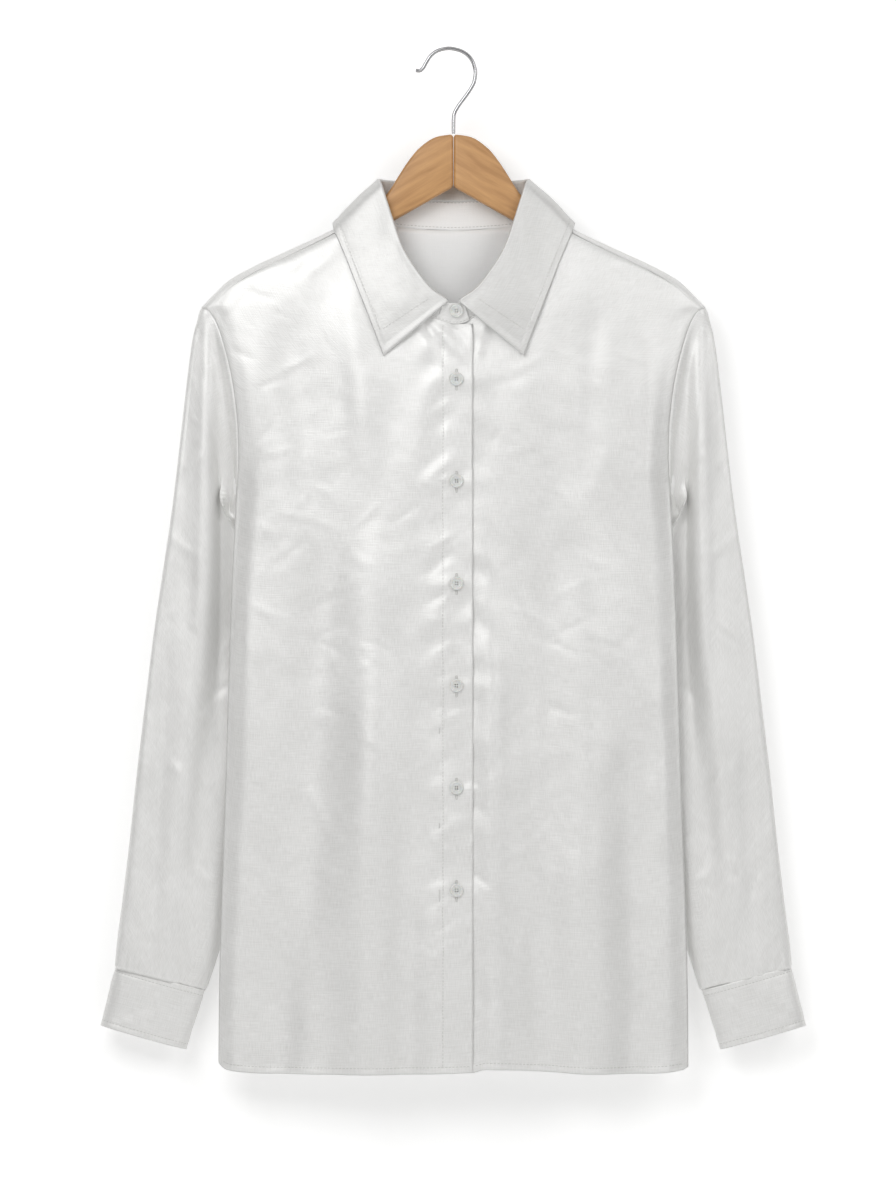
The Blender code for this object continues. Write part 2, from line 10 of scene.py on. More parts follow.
import bmesh
import bpy
import numpy as np
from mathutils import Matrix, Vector
from mathutils.bvhtree import BVHTree


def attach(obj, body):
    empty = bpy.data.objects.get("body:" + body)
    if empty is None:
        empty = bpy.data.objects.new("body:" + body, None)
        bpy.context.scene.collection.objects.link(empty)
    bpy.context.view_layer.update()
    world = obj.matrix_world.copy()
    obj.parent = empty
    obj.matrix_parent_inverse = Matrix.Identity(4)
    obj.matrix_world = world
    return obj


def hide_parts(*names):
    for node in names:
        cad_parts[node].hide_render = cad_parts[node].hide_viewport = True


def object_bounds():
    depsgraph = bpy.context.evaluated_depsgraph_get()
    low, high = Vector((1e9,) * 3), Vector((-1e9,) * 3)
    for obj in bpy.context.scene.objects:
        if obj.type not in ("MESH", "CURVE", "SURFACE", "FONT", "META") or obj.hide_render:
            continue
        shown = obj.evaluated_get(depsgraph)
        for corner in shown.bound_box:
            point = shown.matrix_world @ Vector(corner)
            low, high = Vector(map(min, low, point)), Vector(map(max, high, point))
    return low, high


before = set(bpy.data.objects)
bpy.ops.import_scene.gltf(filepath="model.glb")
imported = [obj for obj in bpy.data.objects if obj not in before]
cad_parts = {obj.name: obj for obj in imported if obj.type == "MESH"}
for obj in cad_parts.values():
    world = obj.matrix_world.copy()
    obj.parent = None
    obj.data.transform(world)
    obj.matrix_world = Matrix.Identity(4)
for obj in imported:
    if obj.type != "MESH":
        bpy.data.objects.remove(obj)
cad_low, cad_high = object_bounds()
print("frame box", [round(v, 4) for v in (*cad_low, *cad_high)])

MM = 0.001
RIGHT, LEFT = -1, 1  # the wearer's sides, along X

# %% [markdown]
# ## Camera, floor and light
# The shirt is seen straight on from its own height, with a long lens, so the hem isn't smaller
# than the collar. It hangs in front of a white wall. A large soft light on the left and one above
# model the folds, and a pale fill keeps their shadows open. The wall shows on its front only, so
# that it never hides the shirt's back.

# %% Camera
LENS = 200.0
SENSOR = 36.0
VIEW_CENTRE_X = -4.5 * MM
VIEW_CENTRE_Z = -450.6 * MM
VIEW_HEIGHT = 980.0 * MM
FRONT_Y = -22.0 * MM


def linked(name, data):
    """A new object in the scene."""
    obj = bpy.data.objects.new(name, data)
    bpy.context.scene.collection.objects.link(obj)
    return obj


camera_data = bpy.data.cameras.new("camera")
camera_data.lens = LENS
camera_data.sensor_width = SENSOR
camera = linked("camera", camera_data)
distance = VIEW_HEIGHT * LENS / SENSOR
camera.location = (VIEW_CENTRE_X, FRONT_Y - distance, VIEW_CENTRE_Z)
camera.rotation_euler = (math.radians(90), 0, 0)
bpy.context.scene.camera = camera
bpy.context.scene.view_settings.view_transform = "Standard"
print("camera stands", round(distance, 3), "m in front of the shirt")


# %% Materials are made of wires
class Wire:
    """A socket in a material's nodes that can be calculated with, or fed into another node."""

    def __init__(self, tree, socket=None):
        self.tree, self.socket = tree, socket

    def into(self, kind, first=None, out=0, **values):
        """Makes a node and feeds this wire into its input named first. Capitalised values are inputs."""
        node = self.tree.nodes.new(kind)
        if first is not None:
            self.tree.links.new(self.socket, node.inputs[first])
        for name, value in values.items():
            if not name[0].isupper():
                setattr(node, name, value)
            elif isinstance(value, Wire):
                self.tree.links.new(value.socket, node.inputs[name.replace("_", " ")])
            else:
                node.inputs[name.replace("_", " ")].default_value = value
        return Wire(self.tree, node.outputs[out])

    def math(self, operation, a, b):
        node = self.tree.nodes.new("ShaderNodeMath")
        node.operation = operation
        for socket, value in zip(node.inputs, (a, b)):
            if isinstance(value, Wire):
                self.tree.links.new(value.socket, socket)
            else:
                socket.default_value = value
        return Wire(self.tree, node.outputs[0])

    def __add__(self, other):
        return self.math("ADD", self, other)

    def __sub__(self, other):
        return self.math("SUBTRACT", self, other)

    def __rsub__(self, other):
        return self.math("SUBTRACT", other, self)

    def __mul__(self, other):
        return self.math("MULTIPLY", self, other)

    __radd__ = __add__
    __rmul__ = __mul__


def blank(name):
    """A new material, a wire to start from and its Principled shader."""
    made = bpy.data.materials.new(name)
    made.use_nodes = True
    return made, Wire(made.node_tree), made.node_tree.nodes["Principled BSDF"]


def plug(wire, shader, name):
    """Feeds a wire into one of the shader's inputs."""
    wire.tree.links.new(wire.socket, shader.inputs[name])


def between(wire, dark, light):
    """A colour between two, by the wire's value."""
    return wire.into("ShaderNodeMix", 0, out=2, data_type="RGBA", A=(*dark, 1), B=(*light, 1))


# %% [markdown]
# ## Satin
# Satin's long floats lie side by side, so its right side is glossy along them and its wrong side
# is matt. Its colour is nearly white, and the folds show mostly as reflections. So the base
# is a warm white with some of a metal's mirror in it, and a fine bump for the floats.

# %% Satin, both sides
THREAD_LINES = 1400.0  # floats in a metre
CLOUD_SHARE = 0.22  # of the colour's change, the rest is the weave's
CLOUD_SCALE = 20.0
FLOAT_HEIGHT = 0.0003


def make_satin(name, roughness, mirror, dark, light):
    """Floats down the cloth and slubs across it, on the map that keeps the cloth's own sizes."""
    made, start, shader = blank(name)
    cut = start.into("ShaderNodeUVMap", uv_map="cut")
    down = cut.into("ShaderNodeMapping", "Vector", Scale=(THREAD_LINES, THREAD_LINES / 12, 1))
    over = cut.into("ShaderNodeMapping", "Vector", Scale=(THREAD_LINES / 16, THREAD_LINES, 1))
    floats = down.into("ShaderNodeTexNoise", "Vector", Scale=1.0, Detail=2.0)
    slubs = over.into("ShaderNodeTexNoise", "Vector", Scale=0.8, Detail=2.0)
    woven = floats * 0.55 + slubs * 0.45
    weave = woven.into("ShaderNodeMapRange", "Value", From_Min=0.33, From_Max=0.67)
    mottled = cut.into("ShaderNodeTexNoise", "Vector", Scale=CLOUD_SCALE, Detail=4.0, Distortion=1.2)
    cloudy = mottled.into("ShaderNodeMapRange", "Value", From_Min=0.30, From_Max=0.70)
    plug(between(weave * (1 - CLOUD_SHARE) + cloudy * CLOUD_SHARE, dark, light), shader, "Base Color")
    plug(roughness - 0.06 + cloudy * 0.04 + weave * 0.08, shader, "Roughness")
    bump = weave.into("ShaderNodeBump", "Height", Strength=0.30, Distance=FLOAT_HEIGHT)
    plug(bump, shader, "Normal")
    shader.inputs["Metallic"].default_value = mirror
    shader.inputs["Sheen Weight"].default_value = 0.15
    shader.inputs["Sheen Roughness"].default_value = 0.4
    return made


satin = make_satin("satin_right_side", 0.47, 0.43, (0.76, 0.757, 0.742), (0.90, 0.899, 0.89))
# A darker copy of the same satin for the collar fall: painted shade that holds its highlights down.
satin_painted_shade = make_satin("satin_painted_shade_on_collar", 0.46, 0.43, (0.64, 0.637, 0.622), (0.77, 0.769, 0.76))
# The wrong side is set lighter than the right side: painted light that lifts the shaded inside of the
# shirt.
satin_wrong_painted_light = make_satin("satin_wrong_side_painted_light", 0.62, 0.0, (0.90, 0.90, 0.895), (0.94, 0.94, 0.935))

# %% [markdown]
# ## Thread, shell, wood and steel
# The thread is matt and twisted. The buttons are pearly, with cloudy bands. The hanger's halves
# are cut with their grain running down each arm, so the grain meets in a chevron on the middle
# line. The hook is bright plated wire.


# %% Thread
def make_thread():
    made, start, shader = blank("thread")
    place = start.into("ShaderNodeTexCoord", out="Object")
    twist = place.into("ShaderNodeTexNoise", "Vector", Scale=2600.0, Detail=1.0)
    plug(between(twist, (0.56, 0.56, 0.54), (0.70, 0.70, 0.68)), shader, "Base Color")
    shader.inputs["Roughness"].default_value = 0.5
    return made


thread = make_thread()


# %% Button shell
def make_shell():
    made, start, shader = blank("button_shell")
    place = start.into("ShaderNodeTexCoord", out="Object")
    cloudy = place.into("ShaderNodeTexNoise", "Vector", Scale=260.0, Detail=4.0, Distortion=1.5)
    plug(between(cloudy, (0.60, 0.59, 0.56), (0.86, 0.85, 0.82)), shader, "Base Color")
    plug(0.24 + cloudy * 0.12, shader, "Roughness")
    shader.inputs["Coat Weight"].default_value = 0.25
    shader.inputs["Subsurface Weight"].default_value = 0.1
    return made


shell = make_shell()


# %% Wood
ARM_SLOPE = math.radians(30.0)


def make_wood(name, side):
    """The grain runs down the arm, so its stripes are turned with it."""
    made, start, shader = blank(name)
    place = start.into("ShaderNodeTexCoord", out="Object")
    turned = place.into("ShaderNodeMapping", "Vector", Rotation=(0.0, -side * ARM_SLOPE, 0.0))
    along = turned.into("ShaderNodeMapping", "Vector", Scale=(1.0, 3.0, 9.0))
    grain = along.into("ShaderNodeTexNoise", "Vector", Scale=26.0, Detail=6.0, Distortion=0.4)
    fine = along.into("ShaderNodeMapping", "Vector", Scale=(1.0, 4.0, 8.0))
    pores = fine.into("ShaderNodeTexNoise", "Vector", Scale=150.0, Detail=3.0)
    mixed = grain * 0.75 + pores * 0.25
    sharp = mixed.into("ShaderNodeMapRange", "Value", From_Min=0.32, From_Max=0.68)
    plug(between(sharp, (0.44, 0.225, 0.085), (0.62, 0.345, 0.145)), shader, "Base Color")
    plug(0.46 - sharp * 0.08, shader, "Roughness")
    bump = sharp.into("ShaderNodeBump", "Height", Strength=0.12, Distance=0.0003)
    plug(bump, shader, "Normal")
    shader.inputs["Coat Weight"].default_value = 0.15
    shader.inputs["Coat Roughness"].default_value = 0.3
    return made


wood = {RIGHT: make_wood("wood_right", RIGHT), LEFT: make_wood("wood_left", LEFT)}


# %% Steel
def make_steel():
    made, start, shader = blank("plated_wire")
    place = start.into("ShaderNodeTexCoord", out="Object")
    drawn = place.into("ShaderNodeTexNoise", "Vector", Scale=900.0, Detail=2.0)
    plug(0.12 + drawn * 0.12, shader, "Roughness")
    shader.inputs["Base Color"].default_value = (0.46, 0.46, 0.47, 1)
    shader.inputs["Metallic"].default_value = 1.0
    return made


steel = make_steel()
print("finishes", [look.name for look in (satin, satin_painted_shade, satin_wrong_painted_light, thread, shell, steel)])

# %% [markdown]
# ## The wall, the floor and the lights
# The wall and floor are painted white and glow a little, so that shadows on them stay pale. A
# mix with a clear shader behind the wall hides its back.


# %% Wall and floor
def make_stage_look(name, level, glow, one_sided):
    """A matt white paint that glows a little, and is clear from behind if it is one-sided."""
    made, start, shader = blank(name)
    shader.inputs["Emission Color"].default_value = (1.0, 1.0, 0.995, 1)
    shader.inputs["Emission Strength"].default_value = glow
    shader.inputs["Base Color"].default_value = (level, level, level, 1)
    shader.inputs["Roughness"].default_value = 0.9
    shader.inputs["Specular IOR Level"].default_value = 0.1
    if one_sided:
        tree = made.node_tree
        behind = start.into("ShaderNodeNewGeometry", out="Backfacing")
        mix = tree.nodes.new("ShaderNodeMixShader")
        clear = tree.nodes.new("ShaderNodeBsdfTransparent")
        tree.links.new(behind.socket, mix.inputs[0])
        tree.links.new(shader.outputs[0], mix.inputs[1])
        tree.links.new(clear.outputs[0], mix.inputs[2])
        tree.links.new(mix.outputs[0], tree.nodes["Material Output"].inputs[0])
    return made


WALL_Y = float(cad_high[1]) + 0.007
FLOOR_Z = float(cad_low[2]) - 0.22
STAGE_SIZE = 7.0
WALL_GLOW, FLOOR_GLOW = 0.30, 0.20

bpy.ops.mesh.primitive_plane_add(size=STAGE_SIZE, location=(0, 0, FLOOR_Z))
floor = bpy.context.object
floor.name = "floor"
floor.data.materials.append(make_stage_look("floor_paint", 0.90, FLOOR_GLOW, False))
bpy.ops.mesh.primitive_plane_add(size=STAGE_SIZE, location=(0, WALL_Y, FLOOR_Z + STAGE_SIZE / 2))
wall = bpy.context.object
wall.name = "wall"
wall.rotation_euler = (math.radians(90), 0, 0)
wall.data.materials.append(make_stage_look("wall_paint", 0.92, WALL_GLOW, True))
wall.visible_diffuse = False  # it keeps no light from the shirt's back
print("the wall is", round(WALL_Y, 3), "m behind the hook")


# %% Lights
def add_light(name, place, aim, size, power):
    """A soft rectangular light that looks at its aim."""
    data = bpy.data.lights.new(name, "AREA")
    data.shape = "RECTANGLE"
    data.size, data.size_y = size
    data.energy = power
    obj = linked(name, data)
    obj.location = place
    obj.rotation_euler = (Vector(aim) - Vector(place)).to_track_quat("-Z", "Y").to_euler()


LIGHTS = (
    # name, place, aim, width and height, watts
    ("key", (-0.65, -1.5, 0.38), (0.0, 0.0, -0.25), (1.0, 0.9), 11.3),
    ("top", (0.2, -1.0, 1.2), (0.0, 0.0, -0.20), (1.3, 0.5), 1.5),
    ("fill", (1.15, -1.5, 0.25), (0.1, 0.0, -0.30), (1.0, 1.0), 7.0),
)
for row in LIGHTS:
    add_light(*row)
print(len(LIGHTS), "lights")

# %% [markdown]
# The room is bright above and dimmer below, and the satin shows it as a slow change down the body.

# %% The room
ROOM_BELOW, ROOM_ABOVE = 0.08, 0.44
world = bpy.data.worlds.new("studio")
bpy.context.scene.world = world
world.use_nodes = True
room = Wire(world.node_tree)
background = world.node_tree.nodes["Background"]
heights = room.into("ShaderNodeTexCoord", out="Generated").into("ShaderNodeSeparateXYZ", 0, out=2)
level = heights.into(
    "ShaderNodeMapRange", "Value", From_Min=-0.30, From_Max=0.45, To_Min=ROOM_BELOW, To_Max=ROOM_ABOVE
)
world.node_tree.links.new(level.socket, background.inputs["Strength"])
background.inputs["Color"].default_value = (1.0, 0.995, 0.985, 1)

# %% [markdown]
# ## Curves and patches
# A sewn garment is a set of flat pieces between seams, so each piece here is a patch of cloth
# stretched between its four edges. One smooth curve serves for every edge and every table: it
# passes through its points without swinging past them, so a hem drawn level stays level.


# %% Smooth curves
def through(place, value, at):
    """Values of a smooth curve through the given points, level beyond its ends. Works on rows too."""
    place, value = np.asarray(place, float), np.asarray(value, float)
    if place[0] > place[-1]:
        place, value = place[::-1], value[::-1]
    at = np.asarray(at, float)
    tail = (1,) * (value.ndim - 1)
    step = np.diff(place).reshape(-1, *tail)
    rise = np.diff(value, axis=0) / step
    slope = np.zeros_like(value)
    slope[0], slope[-1] = rise[0], rise[-1]
    same_way = rise[:-1] * rise[1:] > 0
    both = np.where(same_way, rise[:-1] + rise[1:], 1.0)
    slope[1:-1] = np.where(same_way, 2 * rise[:-1] * rise[1:] / both, 0.0)
    inside = np.clip(at, place[0], place[-1])
    k = np.clip(np.searchsorted(place, inside) - 1, 0, len(place) - 2)
    t = ((inside - place[k]) / np.diff(place)[k]).reshape(at.shape + tail)
    start = value[k] + t * step[k] * slope[k] * (1 - t) ** 2
    bulge = (value[k + 1] - value[k]) * t**2 * (3 - 2 * t)
    return start + bulge - step[k] * slope[k + 1] * t**2 * (1 - t)


# %% [markdown]
# A line's points are then placed by how far along it they are, and not by their number, so that
# the cells of a patch come out even.


# %% Lengths along a line
def lengths(points, axis=0):
    """How far each point is along the cloth from the first of its line, which follows the axis."""
    steps = np.linalg.norm(np.diff(points, axis=axis), axis=-1)
    start = np.zeros_like(np.take(steps, [0], axis=axis))
    return np.concatenate([start, np.cumsum(steps, axis=axis)], axis=axis)


def shares(points):
    """Each point's share of the line's length."""
    at = lengths(points)
    return at / at[-1]


def path(points, wanted):
    """Points of the smooth curve through the given ones, at the wanted shares of its length."""
    points = np.asarray(points, float)
    chord = lengths(points)
    curve = through(chord, points, np.linspace(0, chord[-1], 600))
    length = lengths(curve)
    return at_lengths(curve, np.asarray(wanted, float) * length[-1])


def at_lengths(points, wanted, along=None):
    """Points at the wanted lengths along a line, or the values that go with its points."""
    length = lengths(points)
    values = points if along is None else along
    return np.stack([np.interp(wanted, length, axis) for axis in values.T], axis=1)


def even(count):
    """Shares of the ends of so many equal steps."""
    return np.linspace(0, 1, count + 1)


def unit(vectors):
    """Each vector at a length of one."""
    return vectors / np.maximum(np.linalg.norm(vectors, axis=-1, keepdims=True), 1e-9)


def smooth_step(t):
    """From 0 to 1 as t does, but level at both ends."""
    t = np.clip(t, 0, 1)
    return t * t * (3 - 2 * t)


def hill(distance, width):
    """A smooth hill: 1 at no distance, and nearly nothing two widths away."""
    return np.exp(-((distance / width) ** 2))


# %% [markdown]
# A patch is the sum of two ruled sheets, one between its sides and one between its top and foot,
# less the flat sheet between its corners, which both of them hold. So it meets all four edges.


# %% A patch between four edges
def patch(bottom, top, left, right):
    """Rows of points between four edges. Bottom and top run left to right, left and right upwards."""
    u = ((shares(bottom) + shares(top)) / 2)[None, :, None]
    v = ((shares(left) + shares(right)) / 2)[:, None, None]
    across = (1 - u) * left[:, None] + u * right[:, None]
    along = (1 - v) * bottom[None] + v * top[None]
    low = (1 - u) * bottom[0] + u * bottom[-1]
    high = (1 - u) * top[0] + u * top[-1]
    return across + along - (1 - v) * low - v * high


# %% [markdown]
# ## The body's form
# On a flat hanger the body is a shallow lens: it rounds over the wood at the shoulders, swells to
# a few centimetres in the middle, and closes to nothing at the side seams.

# %% The form, in millimetres
BODY = np.array(
    (
        # z, half_width, edge_depth
        (-131.0, 72.0, 8.3),
        (-147.0, 98.0, 8.3),
        (-166.0, 138.0, 8.3),
        (-177.0, 162.0, 8.3),
        (-190.5, 186.0, 8.2),
        (-198.4, 194.3, 7.6),
        (-211.8, 207.3, 5.8),
        (-214.7, 202.0, 5.9),
        (-224.0, 195.5, 7.0),
        (-246.0, 188.0, 8.6),
        (-272.0, 182.0, 9.0),
        (-293.0, 179.0, 8.4),
        (-316.0, 177.2, 6.8),
        (-333.0, 177.0, 4.8),
        (-347.0, 177.6, 2.4),
        (-358.0, 178.3, 0.5),
        (-453.0, 183.0, 0.35),
        (-617.0, 188.0, 0.35),
        (-781.0, 193.0, 0.35),
        (-845.0, 193.5, 0.35),
    )
)
TIP_ROW, UNDERARM_ROW = 6, 15
TIP_Z, UNDERARM_Z = BODY[TIP_ROW, 0], BODY[UNDERARM_ROW, 0]
DEPTH = np.array(
    (
        # z, front, back
        (-131.0, 9.0, 8.8),
        (-147.0, 11.5, 11.0),
        (-180.0, 17.0, 12.5),
        (-225.0, 22.0, 14.0),
        (-280.0, 25.0, 15.5),
        (-400.0, 26.5, 18.0),
        (-620.0, 27.5, 19.5),
        (-845.0, 28.0, 20.0),
    )
)
SIDE_ROUND = np.array(
    (
        # z, depth that the cloth swells to, just in from the side
        (-131.0, 8.3),
        (-272.0, 9.0),
        (-330.0, 7.8),
        (-400.0, 6.2),
        (-500.0, 4.8),
        (-700.0, 3.4),
        (-845.0, 2.6),
    )
)
SIDE_REACH = 20.0
SIDE_X = 193.4  # the side seam's foot
FULLNESS = np.array(
    (
        # z, how far out the body's swell reaches
        (-131.0, 108.0),
        (-160.0, 154.0),
        (-190.0, 183.0),
        (-215.0, 192.5),
        (-250.0, 190.0),
        (-290.0, 183.5),
        (-330.0, 179.5),
        (-358.0, 178.3),
        (-453.0, 183.0),
        (-617.0, 188.0),
        (-781.0, 193.0),
        (-845.0, 193.5),
    )
)
BEND = 8.0  # how far below the shoulder line the cloth has turned down
LENS_POWER = 2.3


# %% [markdown]
# The form gives a depth for any place on the front or back, so a flat patch becomes a body by
# looking up each of its points.


# %% Places on the form
def half_width(z):
    """How far the side seam or armhole is from the middle."""
    return through(BODY[:, 0], BODY[:, 1], z)


def shoulder_z(x):
    """The height of the shoulder's ridge."""
    return through(BODY[: TIP_ROW + 1, 1], BODY[: TIP_ROW + 1, 0], np.abs(x))


def body_y(x, z, face):
    """The body's form: face -1 is the front and +1 the back."""
    middle = through(DEPTH[:, 0], DEPTH[:, 1 if face < 0 else 2], z)
    edge = through(BODY[:, 0], BODY[:, 2], z)
    swollen = np.maximum(edge, through(SIDE_ROUND[:, 0], SIDE_ROUND[:, 1], z))
    edge = edge + (swollen - edge) * smooth_step((half_width(z) - np.abs(x)) / SIDE_REACH)
    lens = 1 - np.clip(np.abs(x) / through(FULLNESS[:, 0], FULLNESS[:, 1], z), 0, 1) ** LENS_POWER
    below = np.clip((shoulder_z(x) - z) / BEND, 0, 1)
    return face * (edge + (middle - edge) * lens) * np.sqrt(1 - (1 - below) ** 2)


for z in (-225.0, -400.0, -800.0):
    print("at", z, "the form is", round(float(body_y(0.0, z, 1) - body_y(0.0, z, -1)), 1), "mm deep")


# %% [markdown]
# ## Folds
# A fold is a ridge or a hollow along a slightly bowed line. Its row in a table says where it
# starts and ends, how far it bows, its half width and its height. Rumples are the small soft
# unevenness that pressing leaves between them, so they are random but always the same.


# %% Folds and rumples
def folds(table, x, z):
    """The summed height of a table of folds, in millimetres."""
    height = np.zeros(np.shape(x))
    for x0, z0, x1, z1, bow, width, rise in table:
        length = math.hypot(x1 - x0, z1 - z0)
        ux, uz = (x1 - x0) / length, (z1 - z0) / length
        along = ((x - x0) * ux + (z - z0) * uz) / length
        across = (z - z0) * ux - (x - x0) * uz - bow * 4 * along * (1 - along)
        fade = smooth_step(np.clip(along, 0, 1) * 3.0) * smooth_step(np.clip(1 - along, 0, 1) * 3.0)
        height += rise * fade * hill(across, width)
    return height


CHANCES = 97  # random numbers each way, repeated beyond


def rumple(x, z, size, seed):
    """Smooth random hills between -1 and 1, about one for each size."""
    chance = np.random.default_rng(seed).uniform(-1, 1, (CHANCES, CHANCES))
    gx, gz = np.asarray(x) / size + 40.0, np.asarray(z) / size + 40.0
    ix, iz = np.floor(gx).astype(int), np.floor(gz).astype(int)
    tx, tz = smooth_step(gx - ix), smooth_step(gz - iz)

    def corner(a, b):
        return chance[(ix + a) % CHANCES, (iz + b) % CHANCES]

    low = corner(0, 0) * (1 - tx) + corner(1, 0) * tx
    high = corner(0, 1) * (1 - tx) + corner(1, 1) * tx
    return low * (1 - tz) + high * tz


def rumples(x, z, seed):
    """Broad swells, smaller rumples and faint press creases together, leaning as hung cloth does."""
    swell = rumple(x + 0.30 * z, z / 2.2, 62.0, seed)
    large = rumple(x - 0.25 * z, z / 1.8, 27.0, seed + 1)
    small = rumple(x + 0.55 * z, z - 0.4 * x, 12.0, seed + 2)
    return 2.3 * swell + 0.85 * large + 0.20 * small + 1.4 * faint_creases(x, z, seed + 3)


FAINT_CREASES = 150  # on a piece as long as a front
FRONT_LENGTH = 700.0


def faint_creases(x, z, seed):
    """Short sharp creases too many to place one by one, each only a fraction of a millimetre high."""
    chance = np.random.default_rng(seed)
    height = np.zeros(np.shape(x))
    low, high = np.min(z), np.max(z)
    for _ in range(int(FAINT_CREASES * (high - low) / FRONT_LENGTH)):
        x0 = chance.uniform(np.min(x), np.max(x))
        z0 = low + (high - low) * chance.uniform(0, 1) ** 1.25
        length = chance.uniform(16.0, 52.0)
        angle = math.radians(chance.choice((-1, 1)) * chance.uniform(12, 68))
        width = chance.uniform(1.7, 3.2)
        rise = chance.choice((-1, 1)) * chance.uniform(0.10, 0.30)
        bow = chance.uniform(-3, 3)
        near = np.abs(x - x0) + np.abs(z - z0) < 2.4 * length
        if near.any():
            row = (x0, z0, x0 + length * math.cos(angle), z0 + length * math.sin(angle), bow, width, rise)
            height[near] += folds((row,), x[near], z[near])
    return height


# %% [markdown]
# ## Making a cloth piece
# Every piece starts as Blender's grid, laid out with as many rows and columns as the patch has.
# Its corners are moved to the patch, its map keeps the sizes that the piece was cut to, and
# Solidify gives it a wall whose inner face takes the satin's wrong side.

# %% Cloth pieces
CLOTH = 0.42  # thickness of one layer
sheet_sizes = {}


def normals_of(rows, away):
    """The way out of the cloth at each point. away tells which way is out."""
    normal = unit(np.cross(np.gradient(rows, axis=1), np.gradient(rows, axis=0)))
    return normal * np.sign(np.sum(normal * away))


def raised(rows, height, away):
    """Moves each point of a patch out of the cloth by its height."""
    return rows + normals_of(rows, away) * np.asarray(height)[..., None]


def from_middle(rows):
    """From the middle of each ring to its points."""
    return rows - rows.mean(axis=1, keepdims=True)


def open_cloth(name, rows, away, closed=False):
    """An open sheet from rows of points in millimetres, its faces turned towards away."""
    du, dv = np.gradient(rows, axis=1), np.gradient(rows, axis=0)
    if np.sum(np.cross(du, dv) * away) < 0:
        rows = rows[:, ::-1]
    count, columns = rows.shape[:2]
    bpy.ops.mesh.primitive_grid_add(x_subdivisions=columns - 1, y_subdivisions=count - 1)
    obj = bpy.context.object
    obj.name = obj.data.name = name + "_cloth"
    obj.data.vertices.foreach_set("co", (rows.reshape(-1, 3) * MM).ravel())
    u, v = lengths(rows, axis=1), lengths(rows)
    flat = np.stack([u - u[:, -1:] / 2, v], axis=-1).reshape(-1, 2) * MM
    layer = obj.data.uv_layers[0]
    layer.name = "cut"
    corner = np.empty(len(obj.data.loops), int)
    obj.data.loops.foreach_get("vertex_index", corner)
    layer.data.foreach_set("uv", flat[corner].ravel())
    if closed:
        weld(obj)
    return obj


def edit_all(obj):
    """Edit mode with everything selected."""
    bpy.context.view_layer.objects.active = obj
    bpy.ops.object.mode_set(mode="EDIT")
    bpy.ops.mesh.select_all(action="SELECT")


def weld(obj):
    """Merges the points that lie together, such as both ends of a ring."""
    edit_all(obj)
    bpy.ops.mesh.remove_doubles(threshold=1e-5)
    bpy.ops.object.mode_set(mode="OBJECT")


def join(name, objects):
    """One object from several."""
    bpy.ops.object.select_all(action="DESELECT")
    for obj in objects:
        obj.select_set(True)
    bpy.context.view_layer.objects.active = objects[0]
    bpy.ops.object.join()
    joined = bpy.context.object
    joined.name = joined.data.name = name
    return joined


def smooth(mesh, sharpest=None):
    """Smooth shading, with sharp edges only where faces meet at more than an angle in degrees."""
    mesh.polygons.foreach_set("use_smooth", [True] * len(mesh.polygons))
    if sharpest:
        mesh.set_sharp_from_angle(angle=math.radians(sharpest))


def give_wall(obj):
    """Cloth has two sides: the wall puts the satin's wrong side within."""
    bpy.context.view_layer.objects.active = obj
    for look in (satin, satin_wrong_painted_light):
        obj.data.materials.append(look)
    smooth(obj.data)
    sheet_sizes[obj.name] = sum(face.area for face in obj.data.polygons)
    thick = obj.modifiers.new("wall", "SOLIDIFY")
    thick.thickness = CLOTH * MM
    thick.offset = 0.0
    thick.material_offset = 1
    bpy.ops.object.modifier_apply(modifier=thick.name)
    print(obj.name, len(obj.data.polygons), "faces,", round(sheet_sizes[obj.name], 4), "m2 of cloth")
    return obj


def cloth(name, rows, away, closed=False):
    """A finished cloth piece from rows of points, glossy on the side that faces away."""
    return give_wall(open_cloth(name, rows, away, closed))


def place_on(piece, node):
    """The piece stands for a solid of the frame, which is hidden, and hangs from the root body."""
    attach(piece, "root")
    if node:
        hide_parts(node)


# %% [markdown]
# ## The fronts
# The right front laps over the left one. Its edge is turned in twice to make the button band,
# which is held by one row of stitches, so the band stands a little proud and the cloth puckers
# along the row. The hem is turned up narrow and stitched. Both fronts sink into the seams at the
# shoulder and armhole.

# %% Edges of the fronts
HEM = np.array(
    (
        # x, z
        (-193.5, -833.0),
        (-191.0, -836.5),
        (-185.0, -839.5),
        (-150.0, -842.0),
        (-60.0, -842.0),
        (16.0, -840.0),
        (26.0, -837.5),
        (70.0, -839.5),
        (120.0, -842.0),
        (160.0, -842.0),
        (189.0, -839.5),
        (193.5, -836.5),
    )
)
NECKLINE = np.array(
    (
        # x outwards from the centre, z
        (-20.0, -226.5),
        (0.0, -225.5),
        (14.0, -221.0),
        (31.0, -209.0),
        (45.0, -194.0),
        (58.0, -174.0),
        (67.0, -151.0),
        (71.5, -134.5),
    )
)
FRONT_SHOULDER_SEAM = (
    (71.5, -134.5),
    (97.5, -150.4),
    (137.0, -170.2),
    (161.0, -181.6),
    (183.0, -195.0),
    (202.0, -214.7),
)
BAND_EDGE = 16.0  # the right front's edge, past the centre
UNDER_EDGE = -12.0  # the left front's edge, under it
BAND_STITCH = -8.6
UNDER_STITCH = -BAND_STITCH + 6.0  # the same row on the left front, out of sight
BUTTON_X = 2.5
BUTTON_TOP = -271.4
BUTTON_STEP = 83.8
BUTTON_COUNT = 6
COLLAR_BUTTON_Z = -215.5
LAP = 0.75  # how far one lapped layer lies from the middle of the two
HEM_BAND = 5.5
CELL = 2.4  # size of a cell of the grids
BELOW_COLLAR_Z = -330.0

button_heights = [BUTTON_TOP - k * BUTTON_STEP for k in range(BUTTON_COUNT)]
print("buttons at", [round(z, 1) for z in button_heights])


# %% [markdown]
# The patch is drawn flat first, between hem, shoulder seam, armhole and neckline. Its rows and
# columns are then the same in every front, and the folds move its points out of the form.


